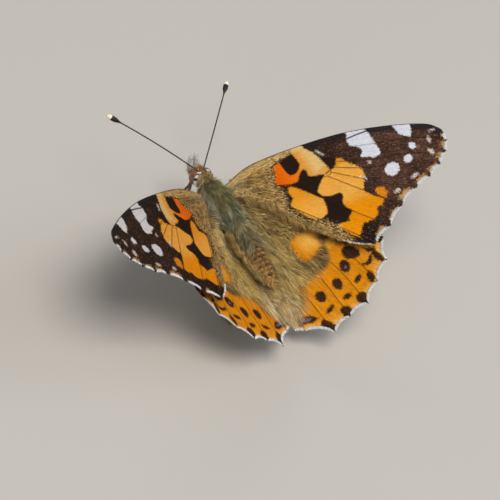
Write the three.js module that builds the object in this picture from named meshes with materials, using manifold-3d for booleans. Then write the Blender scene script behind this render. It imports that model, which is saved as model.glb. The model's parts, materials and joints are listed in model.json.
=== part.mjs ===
// A painted lady butterfly at life size, standing on its four walking legs with its wings spread.
// Millimetres. +X is the butterfly's right, +Y its head end, +Z up, and the floor is z = 0.
// The body frame has its origin midway between the two forewing hinges, and is pitched head up.

import * as THREE from 'three';
import { mergeVertices } from 'three/addons/utils/BufferGeometryUtils.js';
import Module from 'manifold-3d';

const wasm = await Module();
wasm.setup();

const { degToRad, lerp, smoothstep } = THREE.MathUtils;
const v3 = (x, y, z) => new THREE.Vector3(x, y, z);

// Stance of the body over the floor
const bodyPitch = degToRad(8);
const hingeHeight = 8.4;
const bodyForward = 6.0; // puts the middle of the outline over the origin
const gap = 0.3; // clearance that touching pieces keep

// Body sizes: each station is [y, half width, top, bottom]
const thoraxStations = [
  [2.2, 1.05, 1.3, -1.1],
  [1.5, 1.75, 1.9, -1.65],
  [0.4, 2.2, 2.35, -2.3],
  [-1.4, 2.45, 2.65, -2.65],
  [-3.2, 2.3, 2.45, -2.45],
  [-4.5, 1.8, 2.05, -1.7],
  [-5.3, 1.15, 1.6, -0.9],
];
const headStations = [
  [4.75, 0.5, 0.75, -0.85],
  [4.2, 0.9, 1.3, -1.25],
  [3.4, 1.0, 1.5, -1.35],
  [2.7, 0.98, 1.4, -1.25],
  [2.1, 0.8, 1.05, -0.9],
];
const abdomenStart = -4.6;
const abdomenLength = 11.5;
const abdomenRadius = 1.7;
const abdomenSegments = 8;
const abdomenAxisHeight = 0.32; // of its middle line, where it leaves the thorax
const abdomenDroop = 0.55; // how far the tip lies below the start

const eyeCentre = v3(0.85, 3.35, 0.05);
const eyeRadii = v3(0.88, 0.98, 1.12);

// Wings: a plate with its main veins raised on both faces
const wingThickness = 0.5;
const veinHeight = 0.2; // above each face
const veinHalfWidth = 0.36;
const veinStep = 1.75; // between stations along a vein
const marginStep = 0.95;
const fullScallop = 2.6; // from vein to vein; a scallop between closer veins is shallower
const fillStep = 2.5; // of the open membrane between veins

const forewing = {
  hinge: v3(2.3, 0, 0.8),
  dihedral: degToRad(31.5),
  droop: 0.74, // at a span of 30
  scallop: 0.36,
  leadingEdge: [
    [-0.9, 0.15], [0.6, 0.5], [3.4, 0.95], [6.6, 0.5], [11.3, -0.65],
    [17, -2.45], [22.4, -4.95], [26.8, -7.65], [28.1, -9.2], [28.5, -10.2],
  ],
  veinTips: [
    [28.5, -10.3], [28.3, -11.65], [27.3, -13.0], [25.6, -14.15], [23.5, -14.95],
    [21.1, -15.25], [18.1, -16.3], [15.3, -17.9], [12.1, -19],
  ],
  hindEdge: [[12.1, -19], [9.2, -16.4], [5.9, -11.2], [2.7, -4.9], [0.6, -2.3], [-0.9, -1.9]],
  veins: {
    subcosta: [[0.3, 0.4], [5, 0.3], [10, -0.75], [13.8, -1.6]],
    radius: [[0.3, 0.05], [4, -0.1], [8, -0.85], [11.5, -2], [12.8, -3.3]],
    radius1: [[10.2, -1.5], [14, -2.2], [17.6, -2.9]],
    radius2: [[12, -2.4], [16, -3.1], [20.3, -4.2]],
    radius3: [[12.8, -3.3], [18, -3.9], [22.5, -5.7], [25.4, -7.2]],
    radius4: [[22.5, -5.7], [25.8, -8], [27.7, -9.9]],
    radius5: [[12.9, -3.8], [16, -4.9], [19, -5.9], [24.4, -8.6], [28.1, -11.1]],
    media1: [[13.1, -4.9], [16, -6.8], [19, -8.6], [23.1, -10.3], [26.4, -13.3]],
    media2: [[13, -5.8], [16.5, -8.4], [21.1, -11.1], [23.6, -14.5]],
    media3: [[12.7, -6.5], [16.1, -10.2], [17.9, -12.2], [21, -14.8]],
    cubitus1: [[12, -6.7], [13.9, -9.7], [16.4, -13.6], [17.9, -15.9]],
    cubitus2: [[8.4, -5.5], [9.7, -8.5], [11.5, -12], [13.6, -15.3], [15.1, -17.5]],
    cubitus: [[0.3, -0.45], [4, -2.9], [8.4, -5.5], [12, -6.7], [12.7, -6.5]],
    crossVein: [[12.8, -3.3], [13.1, -4.9], [12.7, -6.5]],
    anal2: [[0.4, -0.9], [4, -5.5], [8.6, -12.7], [10.6, -15.9], [12, -18.5]],
  },
};

const hindwing = {
  hinge: v3(0, 0, -2.3), // where its plane meets the middle plane of the body
  slide: 0.4, // how far the right one is drawn back and the left one forward
  dihedral: degToRad(28),
  tipLift: 0.75, // at a span of 16.5
  rootLift: 0.8, // near the thorax
  rootAt: [2.7, -3.3],
  rootReach: 3,
  scallop: 0.52,
  leadingEdge: [
    [1.6, -2.2], [4.5, -2.5], [8.6, -3.9], [12.6, -7.3], [15.6, -11.6], [17.1, -15.4], [17.2, -17.8],
  ],
  veinTips: [
    [17.2, -17.8], [16.05, -20.7], [13.3, -22.5], [10.5, -24.5], [7.5, -24.6], [4.6, -25.5], [1.2, -22.8],
  ],
  hindEdge: [[1.2, -22.8], [0.35, -22.2], [0.3, -17], [0.3, -11], [0.7, -7.8], [1.6, -5.6]],
  veins: {
    subcosta: [[2.9, -2.8], [8, -4.7], [12.8, -9], [16.5, -15.5]],
    radius: [[2.8, -3.1], [6.5, -5.9], [9.5, -8.3]],
    radialSector: [[9.5, -8.3], [13.5, -12.8], [16.9, -17.4]],
    media1: [[10, -9.5], [13.5, -14.5], [15.8, -20]],
    media2: [[9.6, -10.8], [12, -16.5], [13.2, -22]],
    media3: [[8.4, -12], [9.8, -18], [10.45, -24]],
    cubitus1: [[7, -12], [7.2, -18], [7.5, -24.1]],
    cubitus2: [[5.2, -9.3], [4.3, -15], [4.2, -20], [4.6, -25]],
    cubitus: [[2.8, -3.7], [4, -6.7], [5.2, -9.3], [7, -12]],
    anal2: [[2.7, -4.3], [2.2, -10], [1.8, -17], [1.5, -22.4]],
  },
};

// Feelers, mouthparts and legs: centre lines in the body frame, with the radius at each point
const antennaShaft = 0.25;
const antennaClub = 0.46;
const antennaRoot = v3(0.5, 3.75, 1.0);
const antennaTips = { right: v3(10.1, 14.1, 3.6), left: v3(-10.1, 14.2, 4.65) };
const antennaBow = 0.35; // how far its middle rises above the chord

const palpLine = [v3(0.42, 4.1, -0.75), v3(0.44, 5.0, -0.45), v3(0.42, 5.5, 0.4), v3(0.38, 5.75, 1.35)];
const palpRadii = [0.34, 0.42, 0.38, 0.13];

const proboscisLine = [
  v3(0, 4.1, -0.9), v3(-0.05, 4.5, -1.7), v3(-0.2, 4.3, -2.9), v3(-1.0, 4.1, -3.6),
  v3(-2.6, 4.0, -4.3), v3(-4.3, 4.3, -5.4), v3(-5.4, 4.8, -6.7), v3(-5.9, 5.3, -8.0),
];
const proboscisRadius = 0.25;

// The brush-footed front pair is small and folded under the head
const forelegLine = [v3(0.75, 1.0, -1.6), v3(1.0, 2.1, -2.9), v3(0.95, 3.2, -3.0), v3(0.75, 3.7, -1.9), v3(0.65, 3.95, -1.55)];
const forelegRadii = [0.42, 0.42, 0.3, 0.34, 0.2];

// Walking legs: the hip is in the body frame, the rest in the stance frame on the floor under the hinges
const legs = {
  mid: { hip: v3(1.0, -0.4, -1.9), knee: v3(4.6, 1.7, 7.4), ankle: v3(7.0, 3.3, 0.9), toe: v3(8.9, 6.3, 0) },
  hind: { hip: v3(1.0, -3.1, -1.8), knee: v3(4.2, -7.1, 6.1), ankle: v3(4.9, -11.7, 0.9), toe: v3(5.3, -15.3, 0) },
};
const femurRadius = 0.46;
const kneeRadius = 0.34;
const tibiaRadius = 0.33;
const tarsusRadius = 0.3;
const tarsusHeight = 0.18; // of its middle line over the floor, so its sole is a narrow flat
const tarsalJoints = 5;

// Colours of the parts
const paint = (color, roughness) => new THREE.MeshStandardMaterial({ color, roughness, metalness: 0 });
const wingScales = paint('#d98a2b', 0.75);
const furCoat = paint('#77704a', 0.95);
const abdomenCoat = paint('#8a6a3c', 0.95);
const eyeFacets = paint('#2a1d14', 0.25);
const feelerCuticle = paint('#1d1613', 0.5);
const legScales = paint('#9a7d58', 0.8);

// Booleans

function solidOf(geometry) {
  const bare = new THREE.BufferGeometry();
  bare.setAttribute('position', geometry.getAttribute('position').clone());
  if (geometry.index) bare.setIndex(geometry.index.clone());
  const merged = mergeVertices(bare, 1e-4);
  const vertProperties = new Float32Array(merged.getAttribute('position').array);
  const triVerts = new Uint32Array(merged.index.array);
  return new wasm.Manifold(new wasm.Mesh({ numProp: 3, vertProperties, triVerts }));
}

function geometryOf(solid) {
  const pieces = solid.decompose();
  const largest = pieces.reduce((a, b) => (b.volume() > a.volume() ? b : a));
  const mesh = largest.getMesh();
  const geometry = new THREE.BufferGeometry();
  geometry.setAttribute('position', new THREE.BufferAttribute(new Float32Array(mesh.vertProperties), 3));
  geometry.setIndex(new THREE.BufferAttribute(new Uint32Array(mesh.triVerts), 1));
  geometry.computeVertexNormals();
  return geometry;
}

const cut = (geometry, ...tools) =>
  geometryOf(tools.reduce((left, tool) => left.subtract(tool), solidOf(geometry)));

// Lofted bodies

// A closed skin over rings of points, with a point closing each end.
function skinRings(rings, startPoint, endPoint) {
  const sides = rings[0].length;
  const points = [startPoint, ...rings.flat(), endPoint];
  const last = points.length - 1;
  const at = (ring, side) => 1 + ring * sides + (side % sides);
  const index = [];
  for (let s = 0; s < sides; s++) {
    index.push(0, at(0, s + 1), at(0, s));
    for (let r = 0; r < rings.length - 1; r++) {
      index.push(at(r, s), at(r, s + 1), at(r + 1, s));
      index.push(at(r, s + 1), at(r + 1, s + 1), at(r + 1, s));
    }
    index.push(last, at(rings.length - 1, s), at(rings.length - 1, s + 1));
  }
  const geometry = new THREE.BufferGeometry().setFromPoints(points);
  geometry.setIndex(index);
  return geometry;
}

// A body part lofted along Y through stations of [y, half width, top, bottom], grown all over by `grow`.
function loftAlongBody(stations, grow = 0, ringCount = 13, sides = 20) {
  const curves = [0, 1, 2, 3].map((k) => {
    const line = new THREE.CatmullRomCurve3(stations.map((s, i) => v3(s[k], i, 0)), false, 'catmullrom', 0.5);
    return (t) => line.getPoint(t).x;
  });
  const [yAt, widthAt, topAt, bottomAt] = curves;
  const rings = [];
  for (let r = 0; r <= ringCount; r++) {
    const t = r / ringCount;
    const middle = (topAt(t) + bottomAt(t)) / 2;
    const halfHeight = (topAt(t) - bottomAt(t)) / 2 + grow;
    const halfWidth = widthAt(t) + grow;
    const stretch = grow * Math.sign(0.5 - t) * (2 * Math.abs(t - 0.5)) ** 2;
    rings.push(ellipseRing(v3(0, yAt(t) + stretch, middle), halfWidth, halfHeight, sides));
  }
  const endPoint = (t, side) => v3(0, yAt(t) + side * (0.3 + grow), (topAt(t) + bottomAt(t)) / 2);
  return skinRings(rings, endPoint(0, 1), endPoint(1, -1));
}

function ellipseRing(centre, halfWidth, halfHeight, sides) {
  const ring = [];
  for (let s = 0; s < sides; s++) {
    const turn = (s / sides) * Math.PI * 2;
    ring.push(v3(centre.x + halfWidth * Math.cos(turn), centre.y, centre.z + halfHeight * Math.sin(turn)));
  }
  return ring;
}

// A round limb along a smooth line, with a radius at each of the line's points.
function limb(line, radii, steps, sides, tension = 0.5) {
  const curve = new THREE.CatmullRomCurve3(line, false, 'catmullrom', tension);
  const frames = curve.computeFrenetFrames(steps, false);
  const rings = [];
  for (let i = 0; i <= steps; i++) {
    const t = i / steps;
    const u = curve.getUtoTmapping(t);
    const place = u * (line.length - 1);
    const from = Math.min(Math.floor(place), line.length - 2);
    const radius = lerp(radii[from], radii[from + 1], place - from);
    const centre = curve.getPointAt(t);
    const ring = [];
    for (let s = 0; s < sides; s++) {
      const turn = (s / sides) * Math.PI * 2;
      ring.push(centre.clone()
        .addScaledVector(frames.normals[i], radius * Math.cos(turn))
        .addScaledVector(frames.binormals[i], radius * Math.sin(turn)));
    }
    rings.push(ring);
  }
  const start = curve.getPointAt(0).addScaledVector(frames.tangents[0], -radii[0] * 0.4);
  const end = curve.getPointAt(1).addScaledVector(frames.tangents[steps], radii[radii.length - 1] * 0.4);
  return skinRings(rings, start, end);
}

const mirrored = (geometry) => {
  const flipped = geometry.clone().scale(-1, 1, 1);
  const order = flipped.index.array;
  for (let i = 0; i < order.length; i += 3) [order[i + 1], order[i + 2]] = [order[i + 2], order[i + 1]];
  return flipped;
};

// Wing plates

const flat = (points) => points.map(([u, v]) => new THREE.Vector2(u, v));

function along(points, step) {
  const curve = new THREE.SplineCurve(points);
  const count = Math.max(1, Math.round(curve.getLength() / step));
  return curve.getSpacedPoints(count);
}

// The closed outline: a smooth leading edge, an outer edge scalloped between vein tips, a smooth hind edge.
function wingOutline(wing) {
  const lead = along(flat(wing.leadingEdge), marginStep * 1.4);
  const tips = flat(wing.veinTips);
  const middle = new THREE.Vector2(...wing.leadingEdge[3]);
  const outer = [];
  for (let i = 0; i < tips.length - 1; i++) {
    const chord = tips[i + 1].clone().sub(tips[i]);
    const inward = new THREE.Vector2(-chord.y, chord.x).normalize();
    if (inward.dot(middle.clone().sub(tips[i])) < 0) inward.negate();
    const count = Math.max(2, Math.round(chord.length() / marginStep));
    const depth = wing.scallop * Math.min(1, (chord.length() / fullScallop) ** 2);
    for (let k = 0; k < count; k++) {
      const t = k / count;
      const bow = depth * Math.sin(Math.PI * t) ** 0.8;
      outer.push(tips[i].clone().addScaledVector(chord, t).addScaledVector(inward, bow));
    }
  }
  const hind = along(flat(wing.hindEdge), marginStep * 1.4);
  const loop = [...lead, ...outer, ...hind];
  return loop.filter((p, i) => p.distanceTo(loop[(i + 1) % loop.length]) > 0.25);
}

function inside(point, loop) {
  let odd = false;
  for (let i = 0, j = loop.length - 1; i < loop.length; j = i++) {
    const [a, b] = [loop[i], loop[j]];
    if (a.y > point.y !== b.y > point.y
      && point.x < ((b.x - a.x) * (point.y - a.y)) / (b.y - a.y) + a.x) odd = !odd;
  }
  return odd;
}

const nearest = (point, others) => others.reduce((best, o) => Math.min(best, point.distanceTo(o)), Infinity);

// The points that a wing's triangles join: its edge, a ridge and two feet along each vein, and a sparse fill.
function wingPoints(wing, outline) {
  const points = outline.map((at) => ({ at, ridge: 0 }));
  const feet = [];
  const ridges = [];
  for (const line of Object.values(wing.veins)) {
    const curve = new THREE.SplineCurve(flat(line));
    const count = Math.max(2, Math.round(curve.getLength() / veinStep));
    for (let i = 0; i <= count; i++) {
      const at = curve.getPointAt(i / count);
      const tangent = curve.getTangentAt(i / count);
      const side = new THREE.Vector2(-tangent.y, tangent.x).multiplyScalar(veinHalfWidth);
      if (nearest(at, ridges) < 0.5 || nearest(at, outline) < 0.3 || !inside(at, outline)) continue;
      ridges.push(at);
      feet.push(at.clone().add(side), at.clone().sub(side));
    }
  }
  ridges.forEach((at) => points.push({ at, ridge: 1 }));
  const keep = (list, clearance) => {
    for (const at of list) {
      if (!inside(at, outline) || nearest(at, points.map((p) => p.at)) < clearance) continue;
      points.push({ at, ridge: 0 });
    }
  };
  keep(feet, veinHalfWidth * 0.8);
  const box = new THREE.Box2().setFromPoints(outline);
  const fill = [];
  for (let row = 0, v = box.min.y; v < box.max.y; row++, v += fillStep * 0.87) {
    for (let u = box.min.x + (row % 2) * fillStep * 0.5; u < box.max.x; u += fillStep) {
      fill.push(new THREE.Vector2(u, v));
    }
  }
  keep(fill, fillStep * 0.48);
  return points;
}

// Delaunay triangles of points in the plane, added one point at a time.
function triangulate(points, outline) {
  const nudged = points.map((p, i) => [p.x + 1e-4 * Math.sin(i * 12.9), p.y + 1e-4 * Math.sin(i * 78.2)]);
  const far = 500;
  const n = points.length;
  const all = [...nudged, [-far, -far], [far, -far], [0, far]];
  const circle = (a, b, c) => {
    const [ax, ay] = all[a];
    const [bx, by] = [all[b][0] - ax, all[b][1] - ay];
    const [cx, cy] = [all[c][0] - ax, all[c][1] - ay];
    const d = 2 * (bx * cy - by * cx);
    const x = (cy * (bx * bx + by * by) - by * (cx * cx + cy * cy)) / d;
    const y = (bx * (cx * cx + cy * cy) - cx * (bx * bx + by * by)) / d;
    return { corners: [a, b, c], x: ax + x, y: ay + y, r2: x * x + y * y };
  };
  let triangles = [circle(n, n + 1, n + 2)];
  for (let i = 0; i < n; i++) {
    const [x, y] = all[i];
    const edges = new Map();
    const kept = [];
    for (const t of triangles) {
      if ((t.x - x) ** 2 + (t.y - y) ** 2 >= t.r2) {
        kept.push(t);
        continue;
      }
      for (let k = 0; k < 3; k++) {
        const [a, b] = [t.corners[k], t.corners[(k + 1) % 3]];
        const back = `${b},${a}`;
        if (edges.has(back)) edges.delete(back);
        else edges.set(`${a},${b}`, [a, b]);
      }
    }
    for (const [a, b] of edges.values()) kept.push(circle(a, b, i));
    triangles = kept;
  }
  const centre = (t) => new THREE.Vector2(
    t.corners.reduce((sum, c) => sum + all[c][0], 0) / 3,
    t.corners.reduce((sum, c) => sum + all[c][1], 0) / 3,
  );
  return triangles
    .filter((t) => t.corners.every((c) => c < n) && inside(centre(t), outline))
    .map((t) => t.corners);
}

// The right wing's plate: both faces have the same triangles, joined by a rim.
function wingPlate(wing, surface) {
  const outline = wingOutline(wing);
  const points = wingPoints(wing, outline);
  const faces = triangulate(points.map((p) => p.at), outline);
  const upper = [];
  const lower = [];
  for (const { at, ridge } of points) {
    const middle = surface(at.x, at.y);
    const step = 0.05;
    const along = surface(at.x + step, at.y).sub(middle);
    const across = surface(at.x, at.y + step).sub(middle);
    const normal = along.cross(across).normalize();
    const half = wingThickness / 2 + ridge * veinHeight;
    upper.push(middle.clone().addScaledVector(normal, half));
    lower.push(middle.clone().addScaledVector(normal, -half));
  }
  const n = points.length;
  const rim = new Map();
  const index = [];
  for (const [a, b, c] of faces) {
    index.push(a, b, c, n + a, n + c, n + b);
    for (const [from, to] of [[a, b], [b, c], [c, a]]) {
      if (rim.has(`${to},${from}`)) rim.delete(`${to},${from}`);
      else rim.set(`${from},${to}`, [from, to]);
    }
  }
  for (const [from, to] of rim.values()) index.push(from, n + from, n + to, from, n + to, to);
  const geometry = new THREE.BufferGeometry().setFromPoints([...upper, ...lower]);
  geometry.setIndex(index);
  return geometry;
}

function onPlane(wing, u, v, lift) {
  const { hinge, dihedral } = wing;
  return v3(
    hinge.x + u * Math.cos(dihedral) - lift * Math.sin(dihedral),
    v,
    hinge.z + u * Math.sin(dihedral) + lift * Math.cos(dihedral),
  );
}

const forewingSurface = (u, v) => onPlane(forewing, u, v, -forewing.droop * (u / 30) ** 2);

function hindwingSurface(u, v) {
  const [rootU, rootV] = hindwing.rootAt;
  const away2 = (u - rootU) ** 2 + (v - rootV) ** 2;
  const root = hindwing.rootLift * Math.exp(-away2 / hindwing.rootReach ** 2);
  const tip = hindwing.tipLift * (Math.max(u, 0) / 16.5) ** 3;
  return onPlane(hindwing, u, v, root + tip);
}

// Body

const thoraxShape = loftAlongBody(thoraxStations);
const thoraxRoom = solidOf(loftAlongBody(thoraxStations, gap));
const headShape = loftAlongBody(headStations, 0, 11, 18);
const headRoom = solidOf(loftAlongBody(headStations, gap, 11, 18));

// The abdomen's rings swell a little behind each segment's joint.
function abdomenShape(grow = 0) {
  const perSegment = 3;
  const ringCount = abdomenSegments * perSegment;
  const rings = [];
  const axis = (t) => v3(0, abdomenStart - abdomenLength * t, abdomenAxisHeight - abdomenDroop * t * t);
  for (let r = 0; r <= ringCount; r++) {
    const t = r / ringCount;
    const swell = 0.72 + 0.28 * smoothstep(t, 0, 0.3);
    const taper = Math.sqrt(Math.max(0, 1 - Math.max(0, (t - 0.35) / 0.68) ** 2.4));
    const fold = 0.05 * ((r % perSegment) / perSegment) - 0.03;
    const radius = abdomenRadius * (swell * taper + fold * taper) + grow;
    rings.push(ellipseRing(axis(t), radius * 0.97, radius, 18));
  }
  return skinRings(rings, axis(0).add(v3(0, 0.2, 0)), axis(1).add(v3(0, -0.15 - grow, 0)));
}

const eyeShape = (side) => {
  const ball = new THREE.SphereGeometry(1, 16, 12);
  ball.scale(eyeRadii.x, eyeRadii.y, eyeRadii.z);
  ball.translate(side * eyeCentre.x, eyeCentre.y, eyeCentre.z);
  return ball;
};

function antennaShape(tip) {
  const root = antennaRoot.clone();
  root.x *= Math.sign(tip.x);
  const spots = [0, 0.25, 0.5, 0.75, 0.86, 0.93, 0.975, 1];
  const radii = [1.3, 1, 1, 1, 1.15, 1.75, 1.84, 1.2].map((r) => r * antennaShaft);
  const line = spots.map((t) => root.clone().lerp(tip, t).add(v3(0, 0, antennaBow * 4 * t * (1 - t))));
  radii[6] = antennaClub;
  return limb(line, radii, 22, 8);
}

// Legs

const stance = new THREE.Group();
stance.position.y = bodyForward;
const body = new THREE.Group();
body.position.z = hingeHeight;
body.rotation.x = bodyPitch;
body.updateMatrix();
stance.add(body);

const thoraxRoomInStance = solidOf(loftAlongBody(thoraxStations, gap).applyMatrix4(body.matrix));

// One leg from hip to claws. Its sole is pressed flat on the floor.
function legShape({ hip, knee, ankle, toe }) {
  const start = hip.clone().applyMatrix4(body.matrix);
  const bend = 0.12;
  const sole = toe.clone().setZ(tarsusHeight);
  const heel = ankle.clone().setZ(tarsusHeight + 0.12).lerp(sole, 0.06);
  const line = [
    start,
    start.clone().lerp(knee, 0.5),
    knee.clone().lerp(start, bend),
    knee,
    knee.clone().lerp(ankle, bend),
    knee.clone().lerp(ankle, 0.55),
    ankle.clone().lerp(knee, 0.05),
    heel,
  ];
  const radii = [0.95 * femurRadius, femurRadius, 1.05 * kneeRadius, kneeRadius, 0.9 * tibiaRadius,
    tibiaRadius, 1.1 * tibiaRadius, tarsusRadius];
  for (let j = 1; j <= tarsalJoints; j++) {
    line.push(heel.clone().lerp(sole, j / tarsalJoints));
    radii.push(tarsusRadius * (j === tarsalJoints ? 0.8 : 0.95));
  }
  const shape = limb(line, radii, 34, 8, 0.35);
  const place = shape.getAttribute('position');
  for (let i = 0; i < place.count; i++) place.setZ(i, Math.max(0, place.getZ(i)));
  return shape;
}

// Assembly

const butterfly = new THREE.Group();
butterfly.name = 'painted_lady';
butterfly.add(stance);

function addTo(group, name, geometry, material) {
  const mesh = new THREE.Mesh(geometry, material);
  mesh.name = name;
  group.add(mesh);
}

addTo(body, 'thorax', thoraxShape, furCoat);
addTo(body, 'abdomen', cut(abdomenShape(), thoraxRoom), abdomenCoat);
addTo(body, 'head', cut(headShape, thoraxRoom), furCoat);
addTo(body, 'proboscis', cut(limb(proboscisLine, proboscisLine.map(() => proboscisRadius), 26, 8), headRoom),
  feelerCuticle);

const forewingShape = wingPlate(forewing, forewingSurface);
const hindwingShape = wingPlate(hindwing, hindwingSurface);
const palpShape = limb(palpLine, palpRadii, 9, 10);
const forelegShape = limb(forelegLine, forelegRadii, 12, 8);

for (const side of ['left', 'right']) {
  const turned = (geometry) => (side === 'right' ? geometry : mirrored(geometry));
  const sign = side === 'right' ? 1 : -1;
  addTo(body, `forewing_${side}`, cut(turned(forewingShape), thoraxRoom), wingScales);
  const hindwingPlace = turned(hindwingShape).clone().translate(0, -sign * hindwing.slide, 0);
  addTo(body, `hindwing_${side}`, cut(hindwingPlace, thoraxRoom), wingScales);
  addTo(body, `eye_${side}`, cut(eyeShape(sign), headRoom, thoraxRoom), eyeFacets);
  addTo(body, `palp_${side}`, cut(turned(palpShape), headRoom), furCoat);
  addTo(body, `antenna_${side}`, cut(antennaShape(antennaTips[side]), headRoom), feelerCuticle);
  addTo(body, `foreleg_${side}`, cut(turned(forelegShape), thoraxRoom, headRoom), legScales);
  for (const [place, leg] of Object.entries(legs)) {
    addTo(stance, `${place}leg_${side}`, cut(turned(legShape(leg)), thoraxRoomInStance), legScales);
  }
}

export default butterfly;
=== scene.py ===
# A painted lady butterfly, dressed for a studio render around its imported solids
import json
import math

import bpy
import numpy as np
from mathutils import Matrix, Vector
from mathutils.geometry import delaunay_2d_cdt
from mathutils.kdtree import KDTree

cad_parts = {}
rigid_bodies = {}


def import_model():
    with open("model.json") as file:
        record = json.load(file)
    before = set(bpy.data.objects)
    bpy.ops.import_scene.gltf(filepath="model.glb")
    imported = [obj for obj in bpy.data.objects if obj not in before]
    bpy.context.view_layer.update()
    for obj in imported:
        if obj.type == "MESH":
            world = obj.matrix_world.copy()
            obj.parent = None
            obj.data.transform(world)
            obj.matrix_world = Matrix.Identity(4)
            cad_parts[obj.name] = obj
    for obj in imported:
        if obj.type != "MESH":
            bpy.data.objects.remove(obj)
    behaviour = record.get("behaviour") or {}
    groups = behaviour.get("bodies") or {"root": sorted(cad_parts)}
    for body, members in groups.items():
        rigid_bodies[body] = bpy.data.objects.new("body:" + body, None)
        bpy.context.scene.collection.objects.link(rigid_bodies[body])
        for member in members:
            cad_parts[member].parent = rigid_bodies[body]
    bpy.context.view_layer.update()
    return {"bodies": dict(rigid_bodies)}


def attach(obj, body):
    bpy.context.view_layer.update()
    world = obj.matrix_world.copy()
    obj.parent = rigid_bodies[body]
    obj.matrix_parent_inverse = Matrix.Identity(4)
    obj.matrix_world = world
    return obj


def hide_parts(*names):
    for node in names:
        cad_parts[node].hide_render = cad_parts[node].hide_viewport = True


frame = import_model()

print("frame loaded")

mm = 0.001
sides = {"right": 1, "left": -1}
rootBody = list(frame["bodies"])[0]
for node in bpy.context.selected_objects:
    node.select_set(False)

# Where the body stands: its own axes have their origin midway between the forewing hinges
stance = {"pitch": math.radians(8), "hingeHeight": 8.4, "forward": 6.0}


def turnToFloor(directions):  # body axes to the scene's
    x, y, z = np.atleast_2d(np.asarray(directions, float)).T
    c, s = math.cos(stance["pitch"]), math.sin(stance["pitch"])
    return np.stack([x, y * c - z * s, y * s + z * c], 1)


def toFloor(points):  # mm in body axes to the scene's metres
    return (turnToFloor(points) + (0, stance["forward"], stance["hingeHeight"])) * mm


def unit(vectors):
    return vectors / np.maximum(np.linalg.norm(vectors, axis=-1, keepdims=True), 1e-9)


def easeBetween(value, low, high):
    t = np.clip((value - low) / (high - low), 0, 1)
    return t * t * (3 - 2 * t)


# Materials

def toLinear(hexColour):
    srgb = [int(hexColour[i:i + 2], 16) / 255 for i in (1, 3, 5)]
    return tuple(c / 12.92 if c < 0.04045 else ((c + 0.055) / 1.055) ** 2.4 for c in srgb) + (1.0,)


def startMaterial(name, baseColour, roughness, **sockets):
    material = bpy.data.materials.new(name)
    material.use_nodes = True
    shader = material.node_tree.nodes["Principled BSDF"]
    shader.inputs["Base Color"].default_value = toLinear(baseColour)
    shader.inputs["Roughness"].default_value = roughness
    for socket, value in sockets.items():
        shader.inputs[socket.replace("_", " ")].default_value = value
    material.diffuse_color = toLinear(baseColour)
    return material, material.node_tree, shader


def addNode(tree, kind, settings, output=0):  # inputs take numbers, hex colours and other nodes' outputs
    node = tree.nodes.new("ShaderNode" + kind)
    for key, value in settings.items():
        if isinstance(key, str) and key not in node.inputs:
            setattr(node, key, value)
        elif hasattr(value, "is_output"):
            tree.links.new(value, node.inputs[key])
        else:
            node.inputs[key].default_value = toLinear(value) if isinstance(value, str) else value
    return node.outputs[output]


multiply = {"data_type": "RGBA", "blend_type": "MULTIPLY"}
timesPlus = {"operation": "MULTIPLY_ADD"}


def shareOf(tree, made, rule):  # 0 to 1; facePaint says how a rule is written
    if isinstance(rule, list):
        first, second = (shareOf(tree, made, part) for part in rule)
        return addNode(tree, "Math", {"operation": "MULTIPLY", 0: first, 1: second})
    if isinstance(rule, str):
        return made[rule]
    name, *numbers = rule
    if name in made:
        ends = dict(zip(("From Min", "From Max", "To Max", "To Min"), numbers))
        return addNode(tree, "MapRange", {"Value": made[name], **ends})
    soft, fray, shift, most = (*numbers, *(0.0, 1.0)[len(numbers) - 2:])
    mark = addNode(tree, "Attribute", {"attribute_name": name}, "Fac")
    jitter = addNode(tree, "Math", {**timesPlus, 0: made["ragged"], 1: fray, 2: shift})
    depth = addNode(tree, "Math", {"operation": "ADD", 0: mark, 1: jitter})
    half = -soft / 2 if name in scalePaint["lines"] else soft / 2
    return addNode(tree, "MapRange", {"Value": depth, "From Min": -half, "From Max": half, "To Max": most})


def toneOf(tree, made, tone):
    if not isinstance(tone, tuple):
        return tone
    share, below, above = tone
    settings = {"data_type": "RGBA", "Factor": shareOf(tree, made, share)}
    return addNode(tree, "Mix", {**settings, 6: toneOf(tree, made, below), 7: toneOf(tree, made, above)}, 2)


def layTones(tree, made, ground, layers):
    colour = toneOf(tree, made, ground)
    for share, tone in layers:
        colour = toneOf(tree, made, (share, colour, tone))
    return colour


def finishShader(tree, shader, colour, height, strength, depth, **bump):  # relief is depth mm high
    tree.links.new(colour, shader.inputs["Base Color"])
    relief = addNode(tree, "Bump", {"Height": height, "Strength": strength, "Distance": depth * mm, **bump})
    tree.links.new(relief, shader.inputs["Normal"])


# Camera: the photograph's view, a long lens from behind, above and to the butterfly's left
cameraView = {
    "right": (0.81333, -0.51242, 0.27553),  # in body axes
    "up": (0.27574, 0.75652, 0.59299),
    "distance": 500,
    "lens": 264.7,
    "sensor": 36,
    "middle": (5.10, -7.49),  # mm right of and above the hinges, at the picture's centre
    "clip": (0.05, 10),  # m
}


def addCamera():
    right, up = (Vector(turnToFloor(cameraView[k])[0]).normalized() for k in ("right", "up"))
    back = right.cross(up).normalized()
    hinges = Vector(toFloor((0, 0, 0))[0])
    place = hinges + back * cameraView["distance"] * mm
    aim = hinges + (right * cameraView["middle"][0] + up * cameraView["middle"][1]) * mm
    bpy.ops.object.camera_add(location=place)
    camera = bpy.context.object
    camera.name = "camera"
    out = (place - aim).normalized()
    side = up.cross(out).normalized()
    camera.rotation_euler = Matrix((side, out.cross(side), out)).transposed().to_euler()
    camera.data.lens = cameraView["lens"]
    camera.data.sensor_width = cameraView["sensor"]
    camera.data.clip_start, camera.data.clip_end = cameraView["clip"]
    bpy.context.scene.camera = camera


addCamera()

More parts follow.
